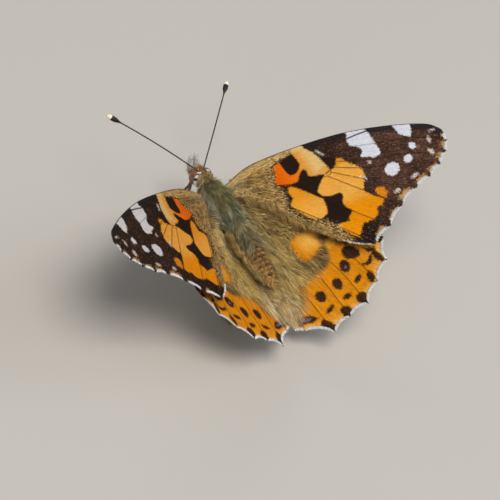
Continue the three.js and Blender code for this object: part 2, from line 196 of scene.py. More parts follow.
# Studio: a pale floor that curves up into a backdrop far behind, and large soft lights
studio = {
    "floorSize": 6.0,
    "floorColour": "#b9b7b2",
    "skyColour": "#dfe3e8",
    "skyStrength": 0.31,
    "lights": (
        # name, place in m, size in m, watts, colour
        ("key", (-0.12, -0.3, 0.8), 0.4, 6.0, "#fff6ea"),
        ("fill", (0.6, -0.35, 0.55), 0.7, 2.4, "#eef3ff"),
        ("rim", (0.2, 0.8, 0.35), 0.5, 1.6, "#f4f8ff"),
        ("low", (-0.5, -0.6, 0.12), 0.4, 0.6, "#fff2e2"),
    ),
}


def addStudio():
    bpy.ops.mesh.primitive_plane_add(size=studio["floorSize"])
    floor = bpy.context.object
    floor.name = "floor"
    floor.data.materials.append(startMaterial("matte_paper_floor", studio["floorColour"], 0.9)[0])
    for name, place, size, power, colour in studio["lights"]:
        bpy.ops.object.light_add(type="AREA", location=place)
        light = bpy.context.object
        light.name = name
        light.data.size = size
        light.data.energy = power
        light.data.color = toLinear(colour)[:3]
        aim = Vector((0, 0, 0.01)) - Vector(place)
        light.rotation_euler = aim.to_track_quat("-Z", "Y").to_euler()
    world = bpy.data.worlds.new("soft_room")
    bpy.context.scene.world = world
    world.use_nodes = True
    backdrop = world.node_tree.nodes["Background"]
    backdrop.inputs["Color"].default_value = toLinear(studio["skyColour"])
    backdrop.inputs["Strength"].default_value = studio["skyStrength"]
    bpy.context.scene.view_settings.view_transform = "Standard"


addStudio()
print("camera and studio ready")

# Lines and areas in a wing's plane, in mm

def splineThrough(points, step, closed=False, ease=1.0):  # a smaller ease leaves sharper corners
    p = np.asarray(points, float)
    if closed:
        p = np.vstack([p[-1], p, p[0], p[1]])
    else:
        p = np.vstack([2 * p[0] - p[1], p, 2 * p[-1] - p[-2]])
    line = []
    for i in range(1, len(p) - 2):
        a, b, c, d = p[i - 1:i + 3]
        a, d = c + (a - c) * ease, b + (d - b) * ease
        count = max(2, int(np.linalg.norm(c - b) / step))
        t = np.linspace(0, 1, count, endpoint=False)[:, None]
        square, cube = 2 * a - 5 * b + 4 * c - d, 3 * b - 3 * c + d - a
        line.append(0.5 * (2 * b + (c - a) * t + square * t**2 + cube * t**3))
    if not closed:
        line.append(p[-2][None])
    return np.vstack(line)


def distanceToLine(points, line, reach, closed=False):
    ends = np.roll(line, -1, 0) if closed else line[1:]
    starts = line if closed else line[:-1]
    best = np.full(len(points), reach)
    box = (points > line.min(0) - reach).all(1) & (points < line.max(0) + reach).all(1)
    near = points[box]
    found = np.full(len(near), reach)
    for a, b in zip(starts, ends):
        ab = b - a
        t = np.clip(((near - a) @ ab) / max(ab @ ab, 1e-12), 0, 1)
        found = np.minimum(found, np.linalg.norm(near - a - t[:, None] * ab, axis=1))
    best[box] = found
    return best


def insideLoop(points, loop):
    odd = np.zeros(len(points), bool)
    x, y = points[:, 0], points[:, 1]
    for (ax, ay), (bx, by) in zip(loop, np.roll(loop, -1, 0)):
        if ay != by:
            odd ^= ((ay > y) != (by > y)) & (x < (bx - ax) * (y - ay) / (by - ay) + ax)
    return odd


def deepestOf(points, outlines, reach):  # mm inside the deepest of the smooth outlines, negative outside
    depths = []
    for outline in outlines:
        loop = splineThrough(outline, 0.25, closed=True, ease=0.55)
        away = distanceToLine(points, loop, reach, closed=True)
        depths.append(np.where(insideLoop(points, loop), away, -away))
    return np.max(depths, axis=0)


def roundSpot(u, v, across, along=None, turn=0.0):  # half widths in mm, turn in degrees
    along = across if along is None else along
    a = np.linspace(0, 2 * np.pi, 8, endpoint=False)
    x, y = across * np.cos(a), along * np.sin(a)
    c, s = math.cos(math.radians(turn)), math.sin(math.radians(turn))
    return np.stack([u + x * c - y * s, v + x * s + y * c], 1)


# Wings. All places are in mm in the wing's own plane: out along the span, and forward
wingPlate = {
    "thickness": 0.1,
    "veinRise": 0.1,  # over each face
    "veinWidth": 0.13,
    "pleatDepth": 0.13,  # of the membrane between veins
    "grain": 0.17,  # between points of the mesh
    "veinRows": (-0.26, -0.12, 0, 0.12, 0.26),  # of the mesh, away from each vein
    "fullScallop": 2.6,  # between veins, the edge is less scalloped where they are closer
    "wingPaintedShade": {  # painted shade: the left wings, seen at a slant, are darkened as if less lit; the right ones are not
        "forewing_right": 0.0,
        "hindwing_right": 0.0,
        "forewing_left": 1.0,
        "hindwing_left": 0.6,
    },
}

forewing = {
    "name": "forewing",
    "hinge": (2.3, 0.0, 0.8),
    "dihedral": math.radians(31.5),
    "bow": (-0.74, 30, 2),  # mm up at a distance out along the wing, and the power that it grows with
    "scallop": 0.34,
    "fringe": 0.36,  # how far the fringe reaches past the membrane
    "slide": 0.0,
    "leadingEdge": [(-1.4, 0.0), (0.6, 0.5), (3.4, 0.95), (6.6, 0.5), (11.3, -0.65), (17, -2.45),
                    (22.4, -4.95), (26.8, -7.65), (28.1, -9.2), (28.5, -10.2)],
    "veinTips": [(28.5, -10.3), (28.3, -11.65), (27.3, -13.0), (25.6, -14.15), (23.5, -14.95), (21.1, -15.25),
                 (18.1, -16.3), (15.3, -17.9), (12.1, -19)],
    "hindEdge": [(12.1, -19), (9.2, -16.4), (5.9, -11.2), (2.7, -4.9), (0.6, -2.3), (-1.4, -1.9)],
    "veins": {
        "subcosta": [(-0.6, 0.2), (5, 0.3), (10, -0.75), (13.8, -1.6)],
        "radius": [(-0.6, -0.1), (4, -0.1), (8, -0.85), (11.5, -2), (12.8, -3.3)],
        "radius1": [(10.2, -1.5), (14, -2.2), (17.6, -2.9)],
        "radius2": [(12, -2.4), (16, -3.1), (20.3, -4.2)],
        "radius3": [(12.8, -3.3), (18, -3.9), (22.5, -5.7), (25.4, -7.2)],
        "radius4": [(22.5, -5.7), (25.8, -8), (27.7, -9.9)],
        "radius5": [(12.9, -3.8), (16, -4.9), (19, -5.9), (24.4, -8.6), (28.1, -11.1)],
        "media1": [(13.1, -4.9), (16, -6.8), (19, -8.6), (23.1, -10.3), (26.4, -13.3)],
        "media2": [(13, -5.8), (16.5, -8.4), (21.1, -11.1), (23.6, -14.5)],
        "media3": [(12.7, -6.5), (16.1, -10.2), (17.9, -12.2), (21, -14.8)],
        "cubitus1": [(12, -6.7), (13.9, -9.7), (16.4, -13.6), (17.9, -15.9)],
        "cubitus2": [(8.4, -5.5), (9.7, -8.5), (11.5, -12), (13.6, -15.3), (15.1, -17.5)],
        "cubitus": [(-0.6, -0.7), (4, -2.9), (8.4, -5.5), (12, -6.7), (12.7, -6.5)],
        "crossVein": [(12.8, -3.3), (13.1, -4.9), (12.7, -6.5)],
        "anal2": [(-0.4, -1.2), (4, -5.5), (8.6, -12.7), (10.6, -15.9), (12, -18.5)],
    },
}

hindwing = {
    "name": "hindwing",
    "hinge": (0.0, 0.0, -2.3),
    "dihedral": math.radians(28),
    "bow": (0.75, 16.5, 3),
    "bulge": (0.8, 2.7, -3.3, 3.0),  # mm up, out and forward, and its radius
    "scallop": 0.5,
    "fringe": 0.3,
    "slide": 0.4,  # how far the right one is drawn back and the left one forward
    "leadingEdge": [(0.9, -0.9), (3.0, -0.7), (5.2, -1.3), (8.6, -3.3), (12.6, -7.1), (15.6, -11.6),
                    (17.1, -15.4), (17.2, -17.8)],
    "veinTips": [(17.2, -17.8), (16.05, -20.7), (13.3, -22.5), (10.5, -24.5), (7.5, -24.6), (4.6, -25.5),
                 (1.2, -22.8), (0.1, -22.1)],
    "hindEdge": [(0.1, -22.1), (0.05, -20), (0.05, -17), (0.05, -11), (0.2, -7.8), (0.6, -5.6)],
    "veins": {
        "subcosta": [(2.2, -2.8), (8, -4.7), (12.8, -9), (16.5, -15.5)],
        "radius": [(2.2, -3.1), (6.5, -5.9), (9.5, -8.3)],
        "radialSector": [(9.5, -8.3), (13.5, -12.8), (16.9, -17.4)],
        "media1": [(10, -9.5), (13.5, -14.5), (15.8, -20)],
        "media2": [(9.6, -10.8), (12, -16.5), (13.2, -22)],
        "media3": [(8.4, -12), (9.8, -18), (10.45, -24)],
        "cubitus1": [(7, -12), (7.2, -18), (7.5, -24.1)],
        "cubitus2": [(5.2, -9.3), (4.3, -15), (4.2, -20), (4.6, -25)],
        "cubitus": [(2.2, -3.7), (4, -6.7), (5.2, -9.3), (7, -12)],
        "anal2": [(2.2, -4.3), (2.2, -10), (1.8, -17), (1.5, -22.4)],
    },
}


def onWing(wing, uv, lift=0.0):  # a point in the wing's plane, in body axes
    u, v = uv[:, 0], uv[:, 1]
    c, s = math.cos(wing["dihedral"]), math.sin(wing["dihedral"])
    most, reach, power = wing["bow"]
    height = most * (u / reach) ** power + lift
    if "bulge" in wing:
        rise, atU, atV, radius = wing["bulge"]
        height = height + rise * np.exp(-((u - atU) ** 2 + (v - atV) ** 2) / radius**2)
    hx, hy, hz = wing["hinge"]
    return np.stack([hx + u * c - height * s, hy + v, hz + u * s + height * c], 1)


def onSide(wing, points, side):  # from the pattern wing to the right or the left one
    points = points * (side, 1, 1)
    points[:, 1] -= side * wing["slide"]
    return points


def wingAxes(wing, uv, side=1):  # out along the wing, forward, and up out of it
    step = 0.02
    u, v = (onWing(wing, uv + move) - onWing(wing, uv - move) for move in ((step, 0), (0, step)))
    return [unit(axis) * (side, 1, 1) for axis in (u, v, np.cross(u, v))]


def outerMargin(wing, step, inset):  # the scalloped edge, its outward directions and its place between veins
    tips = np.asarray(wing["veinTips"], float)
    middle = np.asarray(wing["leadingEdge"][3], float)
    points, outward, phase = [], [], []
    for a, b in zip(tips[:-1], tips[1:]):
        chord = b - a
        length = np.linalg.norm(chord)
        inward = np.array([-chord[1], chord[0]]) / length
        if inward @ (middle - a) < 0:
            inward = -inward
        t = np.linspace(0, 1, max(3, int(length / step)), endpoint=False)
        deep = wing["scallop"] * min(1, (length / wingPlate["fullScallop"]) ** 2)
        bow = deep * np.sin(np.pi * t) ** 0.8
        points.append(a + t[:, None] * chord + bow[:, None] * inward)
        outward.append(unit(-inward + chord / length * np.gradient(bow, t * length)[:, None] * 0.5))
        phase.append(t)
    points, outward, phase = np.vstack(points), np.vstack(outward), np.concatenate(phase)
    for _ in range(4):  # eases the directions round each vein tip
        outward[1:-1] = (outward[:-2] + 2 * outward[1:-1] + outward[2:]) / 4
        outward = unit(outward)
    depth = inset * (0.45 + 0.55 * np.sqrt(np.sin(np.pi * phase)))[:, None]
    return points - outward * depth, outward, phase


def membraneLoop(wing):
    lead = splineThrough(wing["leadingEdge"], 0.25)
    outer, _, _ = outerMargin(wing, 0.2, wing["fringe"])
    hind = splineThrough(wing["hindEdge"], 0.25)
    start = np.linalg.norm(lead - outer[0], axis=1).argmin()
    finish = np.linalg.norm(hind - outer[-1], axis=1).argmin()
    return np.vstack([lead[:start], outer, hind[finish + 1:]])


def veinLines(wing):
    return [splineThrough(line, 0.2) for line in wing["veins"].values()]


def veinDistance(wing, points, reach):
    return np.min([distanceToLine(points, line, reach) for line in veinLines(wing)], axis=0)


def scatterOverWing(wing, loop):  # rows along the veins, then an even fill
    rows = []
    for line in veinLines(wing):
        tangent = unit(np.gradient(line, axis=0))
        side = np.stack([-tangent[:, 1], tangent[:, 0]], 1)
        rows += [line + side * offset for offset in wingPlate["veinRows"]]
    rows = np.vstack(rows)
    _, keep = np.unique(np.round(rows / 0.09), axis=0, return_index=True)
    grain = wingPlate["grain"]
    low, high = loop.min(0), loop.max(0)
    v = np.arange(low[1], high[1], grain * 0.866)
    u = np.arange(low[0], high[0], grain)
    grid = np.stack(np.meshgrid(u, v), -1)
    grid[1::2, :, 0] += grain / 2
    grid = grid.reshape(-1, 2)
    points = np.vstack([rows[np.sort(keep)], grid[veinDistance(wing, grid, 0.6) > 0.34]])
    edge = distanceToLine(points, loop, 1.0, closed=True)
    return points[insideLoop(points, loop) & (edge > 0.1)]


def triangulateWing(wing):
    loop = membraneLoop(wing)
    n = len(loop)
    every = [Vector(p) for p in np.vstack([loop, scatterOverWing(wing, loop)])]
    edges = [(i, (i + 1) % n) for i in range(n)]
    made, _, faces, *_ = delaunay_2d_cdt(every, edges, [list(range(n))], 1, 1e-5)
    uv = np.array([tuple(p) for p in made])
    faces = np.array(faces)
    a, b, c = (uv[faces[:, k]] for k in range(3))
    turned = (b[:, 0] - a[:, 0]) * (c[:, 1] - a[:, 1]) - (b[:, 1] - a[:, 1]) * (c[:, 0] - a[:, 0]) < 0
    faces[turned] = faces[turned][:, ::-1]
    return uv, faces


def meshFrom(name, vertices, faces):  # triangles, smooth
    faces = np.asarray(faces, np.int32)
    mesh = bpy.data.meshes.new(name)
    mesh.vertices.add(len(vertices))
    mesh.vertices.foreach_set("co", np.asarray(vertices, np.float32).ravel())
    mesh.loops.add(faces.size)
    mesh.loops.foreach_set("vertex_index", faces.ravel())
    mesh.polygons.add(len(faces))
    mesh.polygons.foreach_set("loop_start", np.arange(0, faces.size, 3, dtype=np.int32))
    mesh.polygons.foreach_set("use_smooth", np.ones(len(faces), bool))
    mesh.update(calc_edges=True)
    mesh.validate()
    piece = bpy.data.objects.new(name, mesh)
    bpy.context.scene.collection.objects.link(piece)
    return piece


def storeNumbers(piece, name, values):
    layer = piece.data.attributes.new(name, "FLOAT", "POINT")
    layer.data.foreach_set("value", np.asarray(values, np.float32))


def settle(piece, slot, *materials, replaced=()):
    for material in materials:
        piece.data.materials.append(material)
    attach(piece, rootBody)
    if replaced:
        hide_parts(*replaced)


def boundaryEdges(faces):
    edges = np.vstack([faces[:, [0, 1]], faces[:, [1, 2]], faces[:, [2, 0]]])
    _, index, count = np.unique(np.sort(edges, 1), axis=0, return_index=True, return_counts=True)
    return edges[index[count == 1]]


def buildWing(wing, side, sideName, uv, faces, fields):  # a plate with its veins raised on both faces
    name = f"{wing['name']}_{sideName}"
    hingeAway = np.linalg.norm(uv - np.array([0.0, -2.0]), axis=1)
    taper = np.clip(1.25 - hingeAway / 34, 0.35, 1.1)
    ridge = wingPlate["veinRise"] * taper * np.exp(-(fields["vein"] / wingPlate["veinWidth"]) ** 2)
    pleat = np.clip(fields["vein"] / 1.3, 0, 1) ** 1.5 * np.clip(hingeAway / 8, 0, 1)
    middle = onWing(wing, uv, -wingPlate["pleatDepth"] * pleat)
    normal = wingAxes(wing, uv)[2]
    half = (wingPlate["thickness"] / 2 + ridge)[:, None]
    n = len(uv)
    vertices = onSide(wing, np.vstack([middle + normal * half, middle - normal * half]), side)
    start, end = boundaryEdges(faces).T
    rim = [np.stack([start, start + n, end + n], 1), np.stack([start, end + n, end], 1)]
    every = np.vstack([faces, faces[:, ::-1] + n, *rim])
    piece = meshFrom(f"{name}_membrane", toFloor(vertices), every[:, ::side])
    slots = np.zeros(len(every), np.int32)
    slots[len(faces):2 * len(faces)] = 1
    piece.data.polygons.foreach_set("material_index", slots)
    # each wing's share of painted shade is stored with its other fields
    for key, values in {**fields, "wingPaintedShade": np.full(n, wingPlate["wingPaintedShade"][name])}.items():
        storeNumbers(piece, key, np.tile(values, 2))
    both = (wingMaterials[f"{face}_{wing['name']}"] for face in ("upper", "under"))
    settle(piece, "wing", *both, replaced=(name,))


# Markings, as outlines in the wing's plane
forewingMarks = {
    "orange": [
        [(9.65, -7.8), (10.6, -7.0), (11.6, -6.4), (12.6, -6.25), (13.4, -6.15), (14.1, -5.6), (14.4, -5.1),
         (14.9, -5.6), (15.3, -6.6), (15.9, -7.4), (16.4, -8.6), (16.2, -9.5), (15.3, -10.7), (14.95, -11.4),
         (15.6, -12.6), (16.5, -14.0), (15.9, -14.45), (15.1, -14.5), (14.7, -15.3), (14, -15.65),
         (13, -15.5), (12.2, -15.4), (11.5, -16.2), (10.9, -16.7), (10.2, -15.8), (9.6, -14.7), (9.1, -13.6),
         (10.2, -13.7), (11.1, -13.9), (11.4, -13.3), (12.2, -12.9), (11.8, -12.3), (11.6, -11.6),
         (11.8, -10.9), (12.3, -10.2), (12.0, -9.6), (10.9, -9.4), (10.0, -8.8)],
        [(6.4, -5.5), (6.8, -5.0), (7.4, -5.4), (8.2, -6.6), (9.0, -7.9), (9.75, -9.2), (9.6, -10.3),
         (9.1, -11.3), (8.2, -11.5), (7.3, -11.1), (6.6, -10.1), (6.2, -9.1), (5.75, -8.2), (5.7, -7.3),
         (6.4, -6.7), (6.35, -5.9)],
    ],
    "smallOrange": [[(16.2, -12.3), (16.9, -12.0), (17.5, -12.6), (17.4, -13.3), (16.9, -14.0),
                     (16.3, -13.3)]],
    "cream": [
        [(9.8, -0.3), (11.2, -0.5), (11.6, -1.6), (12.1, -2.5), (12.4, -3.4), (12.6, -4.6), (12.75, -6.0),
         (12, -6.2), (11.0, -5.8), (9.95, -5.2), (10.1, -4.2), (9.6, -3.6), (9.85, -2.8)],
    ],
    "deep": [
        [(6.5, -1.2), (7.7, -1.2), (7.75, -2.6), (7.85, -3.5), (8.6, -3.75), (9.7, -3.2), (10.1, -3.7),
         (9.3, -4.0), (8.8, -4.4), (8.3, -4.95), (7.5, -4.9), (6.5, -4.5), (5.7, -3.8), (5.75, -3.1),
         (6.2, -2.5), (6.4, -1.8)],
    ],
    "black": [
        [(7.65, -1.0), (8.4, -0.85), (9.4, -0.9), (9.8, -1.3), (9.75, -2.2), (9.6, -3.0), (9.2, -3.55),
         (8.5, -3.75), (7.95, -3.5), (7.7, -2.9), (7.65, -1.9)],
        [(12.8, -4.4), (13.6, -4.4), (14.0, -5.0), (13.9, -5.5), (13.4, -6.0), (12.95, -6.1), (12.65, -5.5)],
        [(8.65, -4.85), (9.0, -4.35), (9.6, -3.95), (10.1, -3.85), (10.1, -4.4), (9.95, -5.05), (9.3, -5.05)],
        [(7.6, -5.2), (8.6, -5.2), (9.7, -5.45), (10.6, -5.95), (11.3, -6.4), (10.6, -6.9), (9.9, -7.35),
         (9.6, -8.0), (9.85, -9.1), (9.4, -8.5), (8.9, -7.5), (8.3, -6.5)],
        [(5.8, -6.0), (6.3, -6.1), (6.3, -6.7), (5.7, -7.0)],
        [(9.8, -9.3), (10.8, -9.5), (12.2, -9.8), (12.0, -10.4), (11.5, -11.1), (11.6, -12.0), (12.0, -12.9),
         (11.3, -13.3), (10.5, -13.6), (9.4, -13.2), (8.2, -12.3), (7.9, -11.7), (9.2, -11.3), (9.7, -10.4)],
    ],
    "white": [
        [(17.3, -2.3), (18.3, -2.6), (19.6, -3.4), (19.95, -4.7), (19.85, -6.3), (19.8, -7.8), (19.4, -8.1),
         (18.6, -8.0), (18.0, -7.4), (17.2, -6.9), (17.9, -6.3), (17.7, -5.5), (16.9, -4.6), (16.9, -3.7),
         (17.3, -3.2)],
        [(23.3, -5.3), (24.4, -5.6), (25.3, -6.3), (25.1, -7.2), (24.8, -7.8), (24.4, -8.35), (23.9, -7.9),
         (23.3, -7.0), (23.2, -6.2)],
        roundSpot(23.85, -9.55, 0.48, 0.52),
        roundSpot(22.35, -10.85, 0.6, 0.58),
        roundSpot(19.8, -10.9, 1.02, 0.95),
        roundSpot(15.65, -9.35, 0.16, 0.14),
        roundSpot(16.1, -9.9, 0.1, 0.32),
    ],
    "pale": [
        roundSpot(27.2, -9.15, 0.38, 0.2, -15),
        roundSpot(26.2, -10.1, 0.24, 0.45, -20),
        roundSpot(25.5, -11.85, 0.26, 0.6, 5),
        roundSpot(21.8, -13.45, 0.6, 0.2, 5),
        roundSpot(18.7, -14.0, 0.45, 0.24, 10),
        roundSpot(12.9, -3.2, 0.16, 0.75, 25),
        roundSpot(17.8, -8.3, 0.2, 0.3),
        roundSpot(25.7, -6.8, 0.5, 0.12, -35),
    ],
    "margin": [
        roundSpot(28.15, -10.75, 0.24, 0.42, 5),
        roundSpot(27.5, -11.9, 0.42, 0.42, -35),
        roundSpot(26.25, -13.05, 0.55, 0.42, -30),
        roundSpot(24.5, -14.0, 0.8, 0.45, 5),
        roundSpot(22.3, -14.4, 0.8, 0.36),
        roundSpot(19.3, -14.95, 1.0, 0.36, 12),
        roundSpot(16.6, -16.45, 0.9, 0.36, 22),
        roundSpot(13.6, -17.8, 1.0, 0.4, 28),
    ],
    "bars": [
        [(16.6, -3.4), (18.4, -3.72), (20.4, -4.2), (20.4, -4.42), (18.4, -3.95), (16.6, -3.62)],
        [(17.2, -5.0), (18.6, -5.72), (20.2, -6.5), (20.2, -6.6), (18.6, -5.82), (17.2, -5.1)],
    ],
    "hair": [
        [(-3, 4), (4.5, 1.5), (6.4, -0.8), (5.9, -2.4), (5.3, -3.4), (5.7, -4.9), (5.4, -6.4), (5.2, -7.8),
         (5.8, -9.6), (6.6, -11.0), (7.9, -11.8), (9.0, -13.4), (9.8, -15.4), (9.6, -17), (3, -13), (-3, -6)],
    ],
    "gold": [
        [(-2, 2), (5, 2), (9.9, 0.4), (9.7, -0.8), (7.6, -0.8), (5.5, -0.9), (3, -0.6), (-2, -0.6)],
    ],
}

hindwingMarks = {
    "orange": [
        [(10.1, -13.9), (10.6, -13.1), (11.2, -13.5), (11.9, -15), (14, -16.6), (16.6, -16.6), (17.8, -18.1),
         (16.8, -21), (14, -23.2), (11, -25.1), (7.8, -25.6), (4.6, -26.3), (1.2, -23.6), (1.2, -22.2),
         (1.4, -20.8), (2.4, -19.6), (3.7, -17.9), (4.9, -16.9), (7.0, -16.6), (8.4, -16.6), (9.5, -15.8),
         (9.9, -14.8)],
        [(6.3, -10.9), (7.4, -10.4), (8.5, -10.3), (9.5, -10.7), (10.0, -11.6), (9.9, -12.6), (9.6, -13.6),
         (9.0, -14.1), (8.1, -14.6), (7.4, -14.6), (6.7, -14.1), (6.35, -13.1), (6.2, -11.9)],
    ],
    "black": [
        [(11.4, -15.9), (12.1, -15.5), (13.0, -16), (13.5, -17), (13.3, -17.8), (12.4, -17.9), (11.6, -17.3),
         (11.3, -16.6)],
        roundSpot(10.7, -17.95, 0.72, 0.98, -8),
        roundSpot(8.55, -19.55, 0.68, 0.9, -4),
        roundSpot(5.7, -19.8, 0.76, 0.9),
        [(12.8, -18.95), (13.3, -19.2), (13.9, -18.9), (14.3, -18.5), (14.6, -18.6), (14.4, -19.25),
         (13.9, -19.6), (13.3, -19.7), (12.8, -19.4)],
        roundSpot(11.2, -20.5, 0.7, 0.38, 30),
        roundSpot(8.7, -21.8, 0.68, 0.42, 0),
        roundSpot(5.75, -22.05, 0.8, 0.36, 22),
        [(14.6, -18.4), (15.1, -18.2), (15.5, -19.1), (15.7, -20.2), (15.5, -20.7), (14.9, -20.1),
         (14.6, -19.2)],
        roundSpot(12.8, -21.3, 0.52, 0.95, -8),
        [(9.5, -22.7), (10.1, -22.3), (10.9, -22.5), (11.1, -23.1), (10.8, -24.0), (10.4, -24.6),
         (9.9, -24.2), (9.5, -23.4)],
        [(6.7, -23.1), (7.3, -22.7), (8.1, -23.0), (8.2, -23.8), (7.7, -24.7), (7.2, -24.7), (6.75, -23.9)],
        [(3.5, -23.3), (4.2, -22.8), (4.9, -23.6), (5.2, -24.6), (4.9, -25.6), (4.3, -25.6), (3.7, -24.4)],
        [(1.0, -20.9), (2.2, -20.9), (3.2, -21.4), (3.8, -22.3), (2.8, -22.4), (2, -22.1), (1.0, -21.9)],
        [(16.0, -17.1), (17.2, -17.1), (17.0, -18.3), (16.3, -17.9)],
        [(14.1, -17.2), (14.7, -17.7), (15.5, -18.0), (15.3, -18.5), (14.4, -18.2)],
    ],
    "brown": [
        [(6.3, -14.6), (7.3, -14.7), (8.3, -14.6), (9.3, -14), (9.95, -13.8), (9.9, -14.9), (9.5, -15.9),
         (8.6, -16.6), (7.4, -16.7), (6.3, -16.2)],
        [(9.6, -12), (10.6, -12.4), (10.9, -13), (10.1, -13.5), (9.9, -12.9)],
    ],
    "lilac": [
        [(1.1, -21.4), (1.9, -21.3), (2.8, -21.7), (3.0, -21.85), (2.0, -21.6), (1.2, -21.65)],
        roundSpot(10.75, -18.2, 0.08, 0.24),
    ],
    "fold": [
        [(0.0, -14.1), (1.0, -13.8), (1.7, -16.1), (1.9, -18.6), (1.5, -21.2), (0.0, -22.4)],
    ],
}

# Eyespots and dashes of the hindwing's underside: places of the rings and of the dashes between the veins
underMarks = {
    "eyespots": ((14.2, -15.9, 0.85), (12.0, -17.2, 1.1), (10.2, -18.4, 0.8), (8.4, -19.4, 0.8),
                 (5.7, -19.7, 1.15)),
    "dashes": ((15.1, -18.9, 0.6, 0.22, -60), (13.3, -20.3, 0.8, 0.22, 40), (11.0, -21.6, 0.8, 0.22, 32),
               (8.7, -22.3, 0.75, 0.2, 5), (5.9, -22.7, 0.85, 0.2, 15), (2.9, -21.9, 0.9, 0.2, -35)),
}
for key, share in (("ring", 1.0), ("iris", 0.82), ("pupil", 0.48)):
    hindwingMarks[key] = [roundSpot(u, v, r * share) for u, v, r in underMarks["eyespots"]]
hindwingMarks["dash"] = [roundSpot(*dash) for dash in underMarks["dashes"]]
markReach = {"hair": 3.0}  # mm from its edge that a mark is measured, 1.5 for the others


# How warm a light patch is: 0 where it is cream, 1 where it is deep orange. All places are in mm on the wing
def forewingWarmth(u, v):
    band = np.maximum(1 - 0.78 * easeBetween(u, 9.9, 11.7), 0.8 * easeBetween(-v, 4.7, 5.6))
    band = band * easeBetween(-v, 0.3, 1.5)
    cell = 0.85 - 0.6 * easeBetween(-v, 6.0, 10.0)
    paler = 0.25 * np.exp(-((u - 13) ** 2 + (v + 10) ** 2) / 2.0)
    disc = 0.3 + 0.7 * easeBetween(-v - 0.3 * (u - 12), 9.8, 12.4) - paler
    return np.where(u < 9.75, cell, np.where(v > -6.25, band, disc))


def hindwingWarmth(u, v):
    cell = easeBetween(np.hypot(u - 8.9, v + 11.9), 0.4, 2.6)
    field = 1 - 0.55 * easeBetween(u, 12.5, 16.5) - 0.25 * easeBetween(-v, 22.1, 24.1)
    return np.where(v > -14.6, np.where(u < 10, cell, 0.5), field)


def wingFields(wing, marks, uv):  # what the wing's materials are laid out by, a number for each point
    u, v = uv.T
    edge, _, _ = outerMargin(wing, 0.2, wing["fringe"])
    fields = {key: deepestOf(uv, outlines, markReach.get(key, 1.5)) for key, outlines in marks.items()}
    return {
        **fields,
        "edge": distanceToLine(uv, edge, 6.0),
        "costa": distanceToLine(uv, splineThrough(wing["leadingEdge"], 0.3), 6.0),
        "vein": veinDistance(wing, uv, 2.0),
        "warm": forewingWarmth(u, v) if wing is forewing else hindwingWarmth(u, v),
        "ray": np.linalg.norm(uv, axis=1),
        "turn": np.arctan2(v - 1.5, u + 1.5) * 18,  # mm across the lie of the scales, halfway out
        "span": u,
        "back": -v,
    }


# Wing scales: matte chitin plates in rows, each mark frayed where single scales change colour, in mm
scalePaint = {
    "lies": {  # along and across the lie of the scales
        "lie": (1.6, 0.13),
        "shingle": (0.2, 0.11),  # single scales, coarser than the real ones so that they show
        "stroke": (0.62, 0.26),  # of the downy base
    },
    "noises": {  # laid out by, size, detail
        "scales": ("flat", 0.16, 3),
        "cloud": ("flat", 2.4, 4),
        "streaks": ("lie", 1.0, 2),
        "mottle": ("stroke", 1.0, 1),
    },
    "lines": ("costa", "edge", "vein"),  # distances from a line; other marks are depths inside an outline
    "shading": [("streaks", 0.3, 0.7, 1.12, 0.84), ("single", 0.0, 1.0, 1.08, 0.92)],
    # the colour that the painted shade of the left wings multiplies in
    "wingPaintedShade": "#e4dbd0",
    "relief": (0.35, 0.04),
}
dust = ("single", 0.35, 0.95)
downy = ("mottle", 0.42, 0.58)
hindField = ("back", 14.5, 17.5)  # bare of hair, so that veins and ridges show

